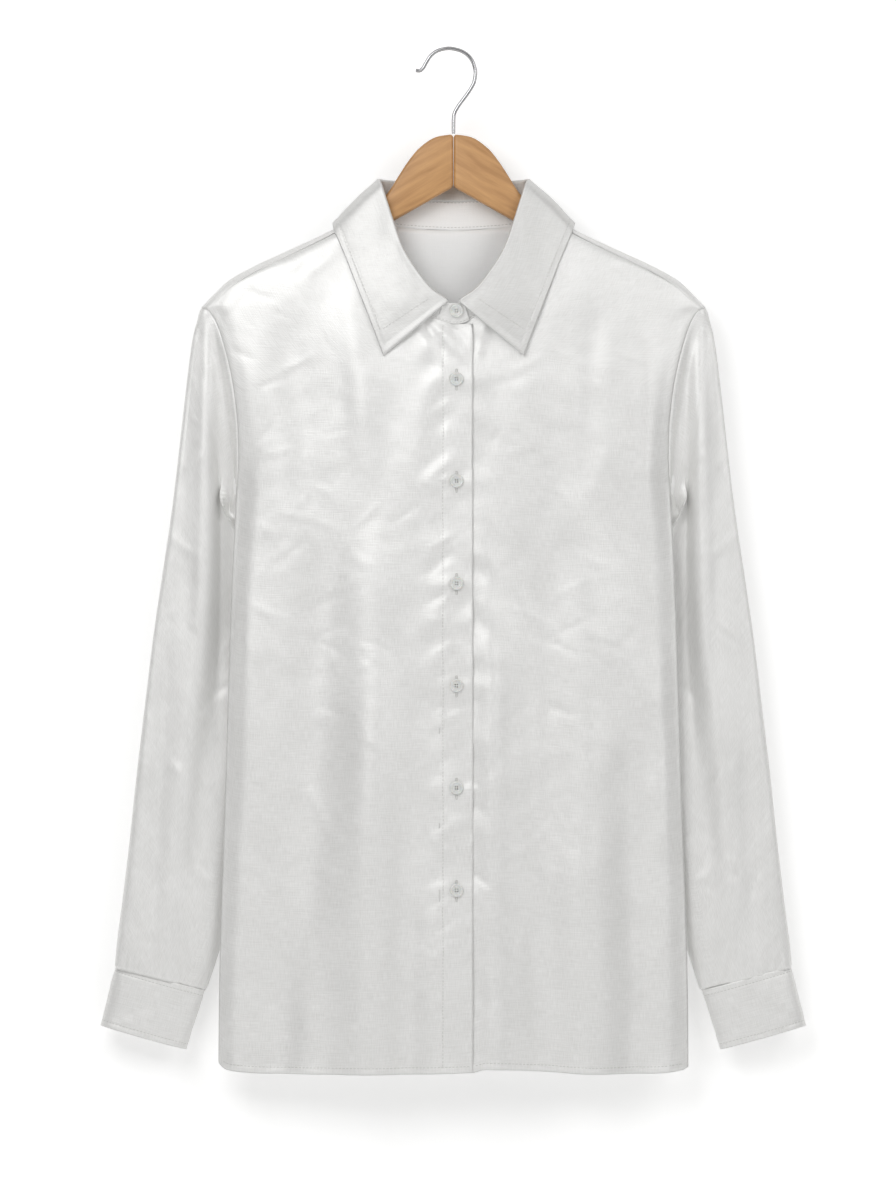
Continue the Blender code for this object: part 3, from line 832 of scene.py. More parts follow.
# %% The front's flat patch
def armhole_z(steps):
    """Heights down the armhole, closer together at its tip, where it turns."""
    return TIP_Z + (UNDERARM_Z - TIP_Z) * np.asarray(steps)


def front_patch(side, edge_x):
    """One front, flat, with x outwards from the centre."""
    inner = side * edge_x
    span = np.linspace(inner, SIDE_X, 120)
    columns = int((SIDE_X - inner) / CELL)
    hem = np.stack([span, through(HEM[:, 0], HEM[:, 1], side * span)], axis=1)
    bottom = path(hem, even(columns))
    top = path(FRONT_SHOULDER_SEAM, even(columns))
    side_z = np.linspace(bottom[-1, 1], UNDERARM_Z, 201)
    arm_z = armhole_z(np.linspace(0.02, 1, 75)[::-1] ** 1.3)[1:]
    z = np.append(side_z, arm_z)
    right = np.stack([half_width(z), z], axis=1)
    right[0], right[-1] = bottom[-1], top[-1]
    corner = (inner, float(through(NECKLINE[:, 0], NECKLINE[:, 1], inner)))
    neck = np.array([corner] + [tuple(row) for row in NECKLINE if row[0] > inner + 4])
    low = np.linspace(bottom[0], (inner, BELOW_COLLAR_Z), 201)
    middle = np.linspace((inner, BELOW_COLLAR_Z), corner, 31)[1:]
    high = path(neck, even(len(right) - len(low) - len(middle)))[1:]
    left = np.concatenate([low, middle, high])
    return patch(bottom, top, left, right)


def near_edges(rows):
    """The distance of each point from the last column and from the last row, along the cloth."""
    across, up = lengths(rows, axis=1), lengths(rows)
    return across[:, -1:] - across, up[-1:] - up


def seam_sink(z):
    """How far the cloth is drawn in at the armhole seam."""
    return 1.2 * smooth_step((z - UNDERARM_Z + 4) / 12) * smooth_step((TIP_Z - z) / 8)


# %% [markdown]
# The long folds fall from the shoulders and the bust, and keep their places down to the hem. The
# creases are the press lines that are sharp enough to be told apart, and the drags pull from the
# collar's button.

# %% Folds of the fronts
BROAD_FOLDS = (
    # x0, z0, x1, z1, bow, half_width, rise
    (-172.0, -250.0, -178.0, -1250.0, 0.0, 17.0, 2.6),
    (-96.0, -260.0, -152.0, -1000.0, 6.0, 24.0, -4.2),
    (-66.0, -300.0, -86.0, -1250.0, 5.0, 19.0, 3.6),
    (-34.0, -480.0, -34.0, -1150.0, -3.0, 14.0, -3.2),
    (-128.0, -640.0, -112.0, -1150.0, 0.0, 15.0, 2.4),
    (-160.0, -560.0, -184.0, -1150.0, 0.0, 13.0, -1.6),
    (30.0, -290.0, 36.0, -1250.0, 0.0, 11.0, 2.6),
    (66.0, -330.0, 72.0, -1150.0, 4.0, 20.0, -4.4),
    (112.0, -300.0, 124.0, -1250.0, -4.0, 20.0, 2.8),
    (146.0, -480.0, 152.0, -1150.0, 0.0, 15.0, -2.6),
    (172.0, -420.0, 182.0, -1200.0, 0.0, 12.0, 1.8),
    (-146.0, -196.0, -118.0, -420.0, 8.0, 15.0, -1.6),
    (120.0, -186.0, 104.0, -400.0, -8.0, 17.0, -2.0),
    (160.0, -210.0, 160.0, -420.0, 0.0, 12.0, 1.6),
    (-92.0, -180.0, -70.0, -380.0, 4.0, 13.0, 1.4),
)
CREASES = (
    # x0, z0, x1, z1, bow, half_width, rise
    (-152.0, -380.0, -88.0, -398.0, 3.0, 3.4, 0.9),
    (-88.0, -398.0, -58.0, -368.0, -2.0, 3.0, 0.7),
    (-126.0, -468.0, -64.0, -440.0, 4.0, 4.2, -0.8),
    (-60.0, -498.0, -104.0, -520.0, 3.0, 3.4, 0.7),
    (-170.0, -452.0, -128.0, -470.0, -3.0, 3.6, 0.7),
    (-142.0, -585.0, -100.0, -650.0, 5.0, 4.0, 0.9),
    (-176.0, -640.0, -140.0, -700.0, 4.0, 4.0, -0.7),
    (-96.0, -690.0, -54.0, -742.0, -4.0, 4.2, 0.8),
    (-52.0, -600.0, -22.0, -640.0, 2.0, 3.2, -0.6),
    (36.0, -456.0, 96.0, -486.0, 4.0, 3.6, 0.8),
    (92.0, -452.0, 132.0, -492.0, -4.0, 3.4, 0.8),
    (128.0, -500.0, 164.0, -470.0, 3.0, 3.2, -0.6),
    (34.0, -640.0, 104.0, -590.0, -5.0, 4.4, 0.9),
    (30.0, -668.0, 92.0, -616.0, -4.0, 3.8, -0.7),
    (110.0, -668.0, 160.0, -708.0, 4.0, 4.0, 0.7),
    (60.0, -742.0, 112.0, -772.0, 5.0, 4.2, -0.7),
    (22.0, -560.0, 58.0, -530.0, -3.0, 3.0, 0.6),
    (120.0, -330.0, 162.0, -352.0, 3.0, 3.6, 0.6),
    (40.0, -300.0, 74.0, -334.0, 4.0, 4.6, 0.7),
)
COLLAR_DRAGS = (
    # x0, z0, x1, z1, bow, half_width, rise
    (-20.0, -222.0, 12.0, -262.0, 2.0, 3.4, 2.0),
    (-8.0, -224.0, 14.0, -246.0, 1.0, 2.4, -1.3),
    (-36.0, -224.0, -2.0, -282.0, 3.0, 4.2, 1.3),
    (-30.0, -218.0, -6.0, -262.0, 3.0, 3.2, -1.2),
    (30.0, -218.0, 20.0, -262.0, -2.0, 3.4, 1.2),
)


def puckers(z, seed):
    """Short waves along a row of stitches, uneven in length and height."""
    z = np.asarray(z)
    return 0.6 * rumple(z, z * 0 + 3.0, 7.0, seed) + 0.4 * rumple(z, z * 0 + 9.0, 3.6, seed + 1)


# %% [markdown]
# The heights are added up: folds and creases, then what sewing does. A row of stitches gathers
# the cloth into puckers, a button drags it from both sides, and it lies calm beside the seams.

# %% How far the fronts stand out
BROAD_RISE, CREASE_RISE = 1.9, 0.45
BAND_PUCKER, BAND_PUCKER_REACH = 0.85, 9.0
BESIDE_RUMPLE, BESIDE_AT, BESIDE_REACH = 1.5, 19.0, 11.0
BAND_RUMPLE, BAND_REACH = 0.5, 12.0
BAND_MIDDLE_X = 3.0
DRAG_RISE, SAG_RISE = 0.8, -0.7
SEAM_WIDTH = 1.7


def hem_height(z, hem_z, x, welt, pucker, seed):
    """The hem's turned-up band stands out, and the cloth puckers along the band's top."""
    above = z - hem_z
    height = welt * smooth_step((HEM_BAND - above) / 1.2 + 0.5)
    return height + pucker * hill(above - HEM_BAND, 7.0) * puckers(x, seed)


def band_height(side, x, z):
    """What the button band and its row of stitches do to the cloth beside them."""
    from_stitch = side * (x - (BAND_STITCH if side == RIGHT else UNDER_STITCH))
    seed = 21 if side == RIGHT else 27
    from_middle_line = np.abs(x - BAND_MIDDLE_X)
    height = BAND_PUCKER * hill(from_stitch, BAND_PUCKER_REACH) * puckers(z + 0.6 * from_stitch, seed)
    beside = hill(from_middle_line - BESIDE_AT, BESIDE_REACH)
    height += BESIDE_RUMPLE * beside * rumple(z + 0.7 * np.abs(x), x * 0 + 5.0 * side, 19.0, seed + 2)
    on_band = hill(from_middle_line, BAND_REACH)
    height += BAND_RUMPLE * on_band * rumple(z - 0.3 * x, x * 0 + 2.0, 11.0, 33)
    for button_z in button_heights:
        drag = hill(z - button_z, 7.0) * hill(np.abs(x - BUTTON_X) - 16.0, 13.0)
        sag = hill(z - button_z + 16.0, 9.0) * hill(x - BUTTON_X, 22.0)
        height += DRAG_RISE * drag + SAG_RISE * sag
    if side == RIGHT:
        height += 0.45 * smooth_step(0.5 - from_stitch / 4.0)
        height -= 0.28 * hill(from_stitch, 1.5)
    return height


def front_height(side, x, z, rows):
    """How far each point of a front stands out of the body's form."""
    height = BROAD_RISE * folds(BROAD_FOLDS, x, z) + CREASE_RISE * folds(CREASES, x, z)
    height += folds(COLLAR_DRAGS, x, z) + rumples(x, z, 11) + band_height(side, x, z)
    hem_z = through(HEM[:, 0], HEM[:, 1], x)
    height += hem_height(z, hem_z, x, 0.55, 0.6, 35)
    height -= 0.4 * hill(z - hem_z - HEM_BAND, 1.2)
    from_side, from_top = near_edges(rows)
    calm = smooth_step(from_side / 14.0) * smooth_step(from_top / 10.0)
    height *= 0.12 + 0.88 * calm
    height -= seam_sink(z) * hill(from_side, SEAM_WIDTH)
    height -= 0.9 * hill(from_top, 1.5)
    return height


# %% [markdown]
# One function makes both. The right front lies on the lap's outer side and the left on its inner.


# %% Both fronts
def make_front(name, side, edge_x, out):
    rows = front_patch(side, edge_x)
    x, z = side * rows[..., 0], rows[..., 1]
    lap = out * LAP * (1 - smooth_step((side * x - 26.0) / 34.0))
    height = front_height(side, x, z, rows) + lap
    y = body_y(x, z, -1) - height
    piece = cloth(name, np.stack([x, y, z], axis=-1), np.array((0.0, -1.0, 0.0)))
    place_on(piece, name)
    return piece


right_front = make_front("front_right", RIGHT, BAND_EDGE, 1)
left_front = make_front("front_left", LEFT, UNDER_EDGE, -1)

# %% [markdown]
# ## The back and the yoke
# The yoke comes over the shoulders, so its front seams show just before the ridge. The back hangs
# from it. The back is made to the same care as the front, with its own long folds.

# %% The back
YOKE_SEAM_Z = -250.0
BACK_FOLDS = (
    # x0, z0, x1, z1, bow, half_width, rise
    (-148.0, -300.0, -160.0, -1250.0, 0.0, 16.0, 2.8),
    (-104.0, -258.0, -112.0, -1250.0, 4.0, 19.0, -3.6),
    (-58.0, -300.0, -64.0, -1250.0, -3.0, 17.0, 3.0),
    (-12.0, -270.0, -18.0, -1250.0, 3.0, 20.0, -3.2),
    (36.0, -320.0, 32.0, -1250.0, 0.0, 16.0, 3.0),
    (82.0, -262.0, 94.0, -1250.0, -4.0, 19.0, -3.8),
    (132.0, -310.0, 146.0, -1250.0, 3.0, 17.0, 2.8),
    (-132.0, -440.0, -70.0, -470.0, 4.0, 4.0, 0.8),
    (44.0, -392.0, 108.0, -424.0, -4.0, 4.2, 0.8),
    (-60.0, -600.0, -8.0, -566.0, 5.0, 4.2, -0.8),
    (70.0, -640.0, 132.0, -684.0, 4.0, 4.0, 0.8),
    (-150.0, -700.0, -96.0, -736.0, 4.0, 4.4, 0.8),
    (6.0, -720.0, 58.0, -756.0, -4.0, 4.0, -0.7),
)
BACK_HEM_LIFT = 2.5
ARM_SHARE_AT_YOKE = 0.25


BACK_COLUMNS = 150


def make_back():
    """Like the fronts, but in one piece with both armholes, up to the yoke's seam."""
    span = np.linspace(-SIDE_X, SIDE_X, 160)
    hem = np.stack([span, through(HEM[:, 0], HEM[:, 1], span) + BACK_HEM_LIFT], axis=1)
    bottom = path(hem, even(BACK_COLUMNS))
    side_z = np.linspace(bottom[-1, 1], UNDERARM_Z, 161)
    arm_z = armhole_z(np.linspace(ARM_SHARE_AT_YOKE, 1, 41)[::-1])[1:]
    z = np.append(side_z, arm_z)
    right = np.stack([half_width(z), z], axis=1)
    right[0] = bottom[-1]
    left = right * (-1, 1)
    left[0] = bottom[0]
    seam = [tuple(left[-1]), (0.0, YOKE_SEAM_Z), tuple(right[-1])]
    top = path(seam, even(BACK_COLUMNS))
    rows = patch(bottom, top, left, right)
    x, z = rows[..., 0], rows[..., 1]
    from_right, from_top = near_edges(rows)
    from_left = near_edges(rows[:, ::-1])[0][:, ::-1]
    from_side = np.minimum(from_left, from_right)
    calm = smooth_step(from_side / 14.0) * smooth_step(from_top / 40.0)
    height = folds(BACK_FOLDS, x, z) * calm + rumples(x, z, 51) * (0.2 + 0.8 * calm)
    height += hem_height(z, through(HEM[:, 0], HEM[:, 1], x) + BACK_HEM_LIFT, x, 0.5, 0.5, 55)
    height -= 0.8 * hill(from_top, 1.5) + seam_sink(z) * hill(from_side, SEAM_WIDTH)
    y = body_y(x, z, 1) + height
    piece = cloth("back", np.stack([x, y, z], axis=-1), np.array((0.0, 1.0, 0.0)))
    place_on(piece, "back")
    return piece


back = make_back()

# %% The yoke
BACK_SHOULDER_LINE = (
    (70.5, -139.0),
    (96.5, -155.0),
    (136.0, -174.4),
    (160.0, -185.6),
    (181.5, -198.4),
    (202.0, -214.7),
)
BACK_NECK_SEAM = (
    (70.5, -139.0),
    (58.0, -143.2),
    (32.0, -146.2),
    (12.0, -147.5),
    (0.0, -147.6),
)
SHOULDER_COLUMNS = 56
NECK_COLUMNS = 28
YOKE_FOLDS = (
    # x0, z0, x1, z1, bow, half_width, rise
    (-120.0, -160.0, -70.0, -262.0, 6.0, 14.0, 1.3),
    (110.0, -158.0, 74.0, -262.0, -6.0, 15.0, 1.2),
    (-40.0, -140.0, -24.0, -262.0, 0.0, 13.0, -1.0),
    (34.0, -140.0, 30.0, -262.0, 0.0, 14.0, 0.9),
)


def yoke_half(side):
    """Rows from the front seam over the shoulder, and rows down the back, both outwards from the neck."""
    lines = (BODY[: TIP_ROW + 1, 1::-1], FRONT_SHOULDER_SEAM, BACK_SHOULDER_LINE)
    ridge, front, rear = (path(line, even(SHOULDER_COLUMNS)) for line in lines)
    over = [front + t * (ridge - front) for t in smooth_step(even(6))]
    over += [ridge + t * (rear - ridge) for t in smooth_step(even(6))[1:]]
    over = np.stack(over)
    y = body_y(over[..., 0], over[..., 1], 1)
    y[:6] = body_y(over[:6, :, 0], over[:6, :, 1], -1)
    over = np.stack([side * over[..., 0], y, over[..., 1]], axis=-1)
    neck = path(BACK_NECK_SEAM, even(NECK_COLUMNS))
    top = np.concatenate([neck[::-1], rear[1:]])
    arm_z = armhole_z(np.linspace(0.02, ARM_SHARE_AT_YOKE, 22)[::-1])
    right = np.stack([half_width(arm_z), arm_z], axis=1)
    right[-1] = top[-1]
    bottom = path([(0.0, YOKE_SEAM_Z), tuple(right[0])], even(len(top) - 1))
    left = np.linspace(bottom[0], top[0], len(right))
    down = patch(bottom, top, left, right)
    x, z = side * down[..., 0], down[..., 1]
    y = body_y(x, z, 1) + folds(YOKE_FOLDS, x, z) + 0.3 * rumples(x, z, 71)
    edge_y = body_y(x[-1], z[-1], 1)
    blend = smooth_step((z[-1] - z) / 8.0)
    y = edge_y * (1 - blend) + y * blend
    y -= 0.8 * hill(z - YOKE_SEAM_Z, 1.6) * (z < YOKE_SEAM_Z + 6)
    return over, np.stack([x, y, z], axis=-1)


def make_yoke():
    """The two halves share the middle line, and each half's parts share the line behind the shoulder."""
    halves = {side: yoke_half(side) for side in (RIGHT, LEFT)}
    down = np.concatenate([halves[RIGHT][1][:, ::-1], halves[LEFT][1][:, 1:]], axis=1)
    parts = [open_cloth("yoke_back", down, np.array((0.0, 1.0, 0.0)))]
    for side in (RIGHT, LEFT):
        over = halves[side][0]
        parts.append(open_cloth("yoke_over", over, over * (0, 1, 0) + (0, 0, 6.0)))
    piece = join("yoke_cloth", parts)
    weld(piece)
    give_wall(piece)
    place_on(piece, "yoke")
    return piece


yoke = make_yoke()

# %% [markdown]
# ## The sleeves
# Each sleeve is a tube that hangs flattened. It is cut wider than the armhole lets it lie, so it
# falls into one deep fold close beside the armhole seam, sharp above and wide below. The satin
# swings forward a little on the way to the cuff, where its width is gathered in.

# %% The sleeves' form
SLEEVE = np.array(
    (
        # outer x, z, inner x, z, outer y, inner y, half_depth, trough_depth, place
        (212.0, -224.0, 182.5, -363.5, 0.5, 4.5, 7.5, 4.5, 0.0),
        (216.0, -246.0, 180.5, -377.0, 1.5, 9.5, 9.0, 8.0, 0.04),
        (220.5, -282.0, 172.0, -398.0, 2.5, 14.0, 10.0, 10.5, 0.1),
        (225.5, -326.0, 164.0, -428.0, 3.5, 17.0, 10.5, 11.5, 0.18),
        (231.5, -376.0, 158.5, -462.0, 4.5, 19.0, 10.5, 11.0, 0.27),
        (239.5, -430.0, 156.0, -500.0, 6.0, 20.5, 10.5, 10.0, 0.37),
        (247.5, -484.0, 157.0, -540.0, 7.5, 21.0, 10.5, 7.5, 0.47),
        (254.3, -540.0, 162.0, -584.0, 8.5, 21.0, 11.0, 5.0, 0.58),
        (261.3, -598.0, 170.0, -632.0, 9.5, 20.0, 11.0, 3.0, 0.69),
        (267.5, -656.0, 180.0, -682.0, 10.5, 18.5, 11.5, 2.0, 0.8),
        (273.4, -706.0, 189.5, -728.0, 11.5, 16.5, 12.0, 1.0, 0.9),
        (277.6, -738.0, 199.0, -760.0, 12.5, 15.5, 12.5, 0.5, 0.965),
        (279.2, -757.0, 204.4, -775.4, 13.0, 15.0, 12.2, 0.0, 1.0),
    )
)
TROUGH = np.array(
    (
        # z, x, half_width
        (-212.0, 198.0, 3.4),
        (-231.0, 194.4, 4.4),
        (-260.0, 191.8, 5.2),
        (-304.0, 190.3, 6.0),
        (-400.0, 189.3, 7.0),
        (-480.0, 190.0, 9.0),
        (-620.0, 193.0, 13.0),
    )
)
SLEEVE_FOLDS = (
    # x0, z0, x1, z1, bow, half_width, rise; x is outwards from the centre
    (202.0, -236.0, 207.0, -520.0, 4.0, 6.5, 2.6),
    (216.0, -256.0, 226.0, -480.0, 2.0, 6.0, -1.8),
    (188.0, -440.0, 214.0, -750.0, 6.0, 9.0, -3.2),
    (206.0, -430.0, 236.0, -800.0, 4.0, 10.0, 3.4),
    (232.0, -400.0, 254.0, -800.0, 0.0, 8.0, -2.6),
    (176.0, -470.0, 200.0, -800.0, 0.0, 8.0, 2.4),
    (198.0, -330.0, 226.0, -352.0, 3.0, 3.6, 0.9),
    (200.0, -420.0, 240.0, -392.0, -4.0, 4.0, 0.9),
    (178.0, -520.0, 216.0, -552.0, 4.0, 4.2, -0.9),
    (196.0, -610.0, 240.0, -580.0, -4.0, 4.4, 1.0),
    (216.0, -672.0, 256.0, -700.0, 4.0, 4.0, -0.8),
    (190.0, -690.0, 222.0, -664.0, -3.0, 3.8, 0.8),
)
SLEEVE_BACK_FOLDS = (
    # x0, z0, x1, z1, bow, half_width, rise; x is outwards from the centre
    (204.0, -240.0, 214.0, -560.0, 4.0, 8.0, -3.0),
    (190.0, -380.0, 204.0, -760.0, 5.0, 9.0, 3.0),
    (222.0, -420.0, 240.0, -790.0, 3.0, 9.0, -2.8),
    (240.0, -520.0, 258.0, -790.0, 0.0, 7.0, 2.2),
    (196.0, -500.0, 236.0, -530.0, 4.0, 4.4, 0.9),
    (210.0, -620.0, 248.0, -600.0, -3.0, 4.2, -0.9),
)
print("sleeve table", len(SLEEVE), "stations,", len(SLEEVE_FOLDS) + len(SLEEVE_BACK_FOLDS), "folds")

# %% [markdown]
# Rings run from the armhole seam to the cuff's. The first ring is the armhole itself, and the
# rings turn smoothly into the flattened tube within one to three centimetres.

# %% The sleeve's tube
AROUND = 96  # points on the front half of a sleeve's ring
SLEEVE_ROWS = 210
ROWS_NEAR_ARMHOLE, NEAR_ARMHOLE = 60, 0.1
SEAM_INSET, SEAM_OVERLAP = 0.3, 0.1
TUBE_POWER, HOLLOW_POWER = 0.8, 2.4
DEEPEST = 0.82  # share of the sleeve's thickness that a hollow may take
SLEEVE_FOLD_RISE = 0.75


def ring(front, rear, axis=0):
    """Both halves of a ring: the front from the outer edge to the inner one, then the rear back."""
    back_again = np.flip(np.delete(rear, -1, axis=axis), axis)
    return np.concatenate([front, back_again], axis=axis)


def armhole_ring(across):
    """The sleeve's first ring lies in the armhole seam."""
    z = armhole_z(across)
    x = half_width(z)
    rim = []
    for face in (-1, 1):
        y = body_y(x, z, face) - face * (seam_sink(z) - SEAM_OVERLAP)
        y[0] = y[-1] = 0.0
        rim.append(np.stack([x - SEAM_INSET, y, z], axis=1))
    return ring(*rim)


def sleeve_tube():
    """Rings down the sleeve, with how thick it is and how deep its trough at each point."""
    arc = np.linspace(0, np.pi, AROUND)
    across = (1 - np.cos(arc)) / 2
    near = np.linspace(0, NEAR_ARMHOLE, ROWS_NEAR_ARMHOLE)[:-1]
    places = np.concatenate([near, np.linspace(NEAR_ARMHOLE, 1, SLEEVE_ROWS - ROWS_NEAR_ARMHOLE)])
    table = through(SLEEVE[:, -1], SLEEVE[:, :-1], places)
    x_out, z_out, x_in, z_in, y_out, y_in, half_depth, trough_depth = (
        table[:, k, None] for k in range(8)
    )
    x = x_out + (x_in - x_out) * across
    z = z_out + (z_in - z_out) * across
    middle = y_out + (y_in - y_out) * across
    swell = half_depth * np.sin(arc) ** TUBE_POWER
    halves = [np.stack([x, middle + face * swell, z], axis=-1) for face in (-1, 1)]
    tube = ring(*halves, axis=1)
    reach = 9.0 + 20.0 * ring(across, across) ** 2
    blend = smooth_step(lengths(tube) / reach)[..., None]
    tube = armhole_ring(across) * (1 - blend) + tube * blend
    from_edge = ring(np.sin(arc), np.sin(arc))[None]
    return tube, from_edge, 2 * half_depth * from_edge**TUBE_POWER, trough_depth


# %% [markdown]
# The trough is cut into the front of the tube, never deeper than the tube is thick, and a ridge
# stands beside it. Gathers run into the cuff's seam.


# %% The sleeve's folds
def sleeve_height(side, tube, from_edge, thickness, trough_depth):
    """How far each point of a sleeve stands out of its tube."""
    from_seam = lengths(tube)
    x, z = tube[..., 0], tube[..., 2]
    centre, width = np.moveaxis(through(TROUGH[:, 0], TROUGH[:, 1:], z), -1, 0)
    beyond = x - centre
    beyond = np.where(beyond < 0, 0.3 * beyond, beyond)
    hollow = trough_depth * np.exp(-((np.abs(beyond) / width) ** HOLLOW_POWER))
    hollow = np.minimum(hollow, DEEPEST * thickness)
    ridge = 0.30 * trough_depth * hill(x - centre - 2.1 * width, width)
    front = SLEEVE_FOLD_RISE * folds(SLEEVE_FOLDS, x, z) - hollow + ridge
    front += 0.7 * rumples(side * x, z, 81)
    rear = folds(SLEEVE_BACK_FOLDS, x, z) + 0.7 * rumples(side * x, z, 91)
    calm = smooth_step(from_seam / 12.0) * np.minimum(1, from_edge * 2.2)
    height = np.where(np.arange(tube.shape[1]) < AROUND, front, rear) * calm
    height += 0.6 * smooth_step(from_seam / 3.0) * hill(from_seam - 4.0, 6.0)
    to_cuff = from_seam[-1:] - from_seam
    girth = lengths(tube[-1])[None]
    gather = puckers(girth * 1.15, 101 + (side > 0) * 7) + 0.6 * puckers(girth * 2.1, 131)
    height += 1.5 * gather * hill(to_cuff, 15.0) * smooth_step((to_cuff + 2.0) / 5.0)
    return height - 1.2 * hill(to_cuff, 2.0)


# %% [markdown]
# The ring is closed, so each point's normal is worked out from its neighbours round the seam too.


# %% Both sleeves
def make_sleeve(name, side):
    rows, *form = sleeve_tube()
    height = sleeve_height(side, rows, *form)
    wrapped = np.concatenate([rows[:, -2:-1], rows[:, :-1], rows[:, :2]], axis=1)
    normal = unit(np.cross(wrapped[:, 2:] - wrapped[:, :-2], np.gradient(rows, axis=0)))
    normal *= np.sign(np.sum(normal * from_middle(rows)))
    rows = rows + normal * height[..., None]
    rows[:, -1] = rows[:, 0]
    rows = rows * (side, 1, 1)
    piece = cloth(name, rows, from_middle(rows), closed=True)
    place_on(piece, name)
    return piece


right_sleeve = make_sleeve("sleeve_right", RIGHT)
left_sleeve = make_sleeve("sleeve_left", LEFT)

# %% [markdown]
# ## The cuffs
# A barrel cuff is a doubled, stiffened band whose ends lap at the back, where its button is. Its
# edge is stitched all round, so it has a slight welt. The sleeve's fullness ends in its seam.

# %% The cuffs
CUFF_TOP = np.array((241.7, 14.0, -764.8))
CUFF_BOTTOM = np.array((255.4, 14.0, -813.6))
CUFF_HALF_WIDTH = (38.0, 36.6)
CUFF_HALF_DEPTH = (12.0, 13.5)
CUFF_LAP_AT, CUFF_LAP = 62.0, 26.0  # degrees round the wrist
CUFF_STITCH = 4.5
CUFF_COLUMNS, CUFF_ROWS = 230, 44
CUFF_POWER = 0.9  # below 1, the ring is a little squarer than an ellipse


def cuff_rows():
    """Rings down the cuff, each turning outwards by the lap on its way round."""
    turn = np.radians(CUFF_LAP_AT + np.linspace(0, 360 + CUFF_LAP, CUFF_COLUMNS))[:, None]
    cos, sin = np.cos(turn), np.sin(turn)
    cos = np.sign(cos) * np.abs(cos) ** CUFF_POWER
    sin = np.sign(sin) * np.abs(sin) ** CUFF_POWER
    offset = np.linspace(-LAP, LAP, CUFF_COLUMNS)[:, None]
    axis = unit(CUFF_BOTTOM - CUFF_TOP)
    outwards = np.array((-axis[2], 0.0, axis[0]))
    rows = []
    for t in np.linspace(-0.01, 1.0, CUFF_ROWS):
        wide = CUFF_HALF_WIDTH[0] + t * (CUFF_HALF_WIDTH[1] - CUFF_HALF_WIDTH[0])
        deep = CUFF_HALF_DEPTH[0] + t * (CUFF_HALF_DEPTH[1] - CUFF_HALF_DEPTH[0])
        around = (wide + offset) * cos * outwards + (deep + offset) * sin * np.array((0, 1, 0))
        rows.append(CUFF_TOP + t * (CUFF_BOTTOM - CUFF_TOP) + around)
    return np.stack(rows)


def make_cuff(name, side):
    rows = cuff_rows()
    girth, down = lengths(rows, axis=1), lengths(rows)
    to_edge = np.minimum(np.minimum(down, down[-1:] - down), np.minimum(girth, girth[:, -1:] - girth))
    height = -0.35 * hill(to_edge - CUFF_STITCH, 0.9)
    height += 0.15 * smooth_step((to_edge - 0.2) / 1.2) - 0.15
    height += 0.35 * puckers(girth, 141) * hill(down, 8.0)
    height += 0.5 * rumple(girth, down, 17.0, 151 + (side > 0)) + 0.25 * rumple(girth, down, 7.0, 161)
    rows = raised(rows, height * 0.9, from_middle(rows)) * (side, 1, 1)
    piece = cloth(name, rows, from_middle(rows))
    place_on(piece, name)
    return piece, rows


right_cuff, right_cuff_rows = make_cuff("cuff_right", RIGHT)
left_cuff, left_cuff_rows = make_cuff("cuff_left", LEFT)

# %% [markdown]
# ## The collar
# The stand rises round the neck and buttons at the front. The fall is sewn to its top, turns over
# in a soft roll and spreads to two points. Both are stiffened, so they show no rumples, only a
# welt along the stitched edge and a slow wave.

# %% The collar
COLLAR = np.array(
    (
        # neck x, y, z, roll x, y, z, edge x, y, z, share of the height that is the stand
        (0.0, -22.3, -226.0, 4.5, -26.5, -206.3, 57.5, -26.4, -252.5, 0.84),
        (14.0, -21.8, -221.8, 16.6, -25.5, -198.3, 65.5, -25.0, -231.0, 0.80),
        (31.0, -20.1, -210.0, 29.8, -23.0, -182.3, 73.0, -23.2, -211.5, 0.74),
        (45.0, -17.7, -195.0, 41.2, -19.5, -163.4, 80.5, -19.8, -192.0, 0.69),
        (58.0, -14.0, -175.0, 48.7, -15.5, -142.7, 88.0, -16.4, -173.0, 0.65),
        (67.0, -10.0, -152.0, 55.0, -12.0, -123.0, 94.5, -13.0, -157.5, 0.63),
        (71.4, -8.1, -137.0, 58.5, -9.0, -112.0, 98.5, -8.8, -147.5, 0.63),
        (72.2, 0.0, -130.6, 60.3, 0.0, -107.3, 99.5, 0.0, -142.8, 0.63),
        (70.6, 8.2, -138.5, 58.5, 8.5, -106.8, 98.5, 9.2, -147.5, 0.63),
        (58.0, 10.4, -142.8, 47.0, 13.5, -107.3, 86.0, 14.0, -158.0, 0.63),
        (32.0, 10.9, -145.8, 25.0, 17.0, -109.0, 46.0, 15.4, -165.5, 0.63),
        (0.0, 11.2, -147.2, 0.0, 18.0, -110.0, 0.0, 16.0, -168.0, 0.63),
    )
)
STAND_END = 13.5  # how far the stand's ends reach past the middle line
STAND_ROWS, STAND_TIP_COLUMNS = 22, 14
FOLD_ROUND = 1.5
STATIONS = 150
COLLAR_STITCH = 5.4
INNER_LEAF_ROWS, TURN_ROWS, OUTER_LEAF_ROWS = 7, 13, 45
NECK_MIDDLE = np.array((0.0, 0.0, -150.0))


# %% [markdown]
# Three lines carry the collar: the neck seam, the roll and the outer edge. They are shared by the
# stand and the fall, so the two pieces fit each other.


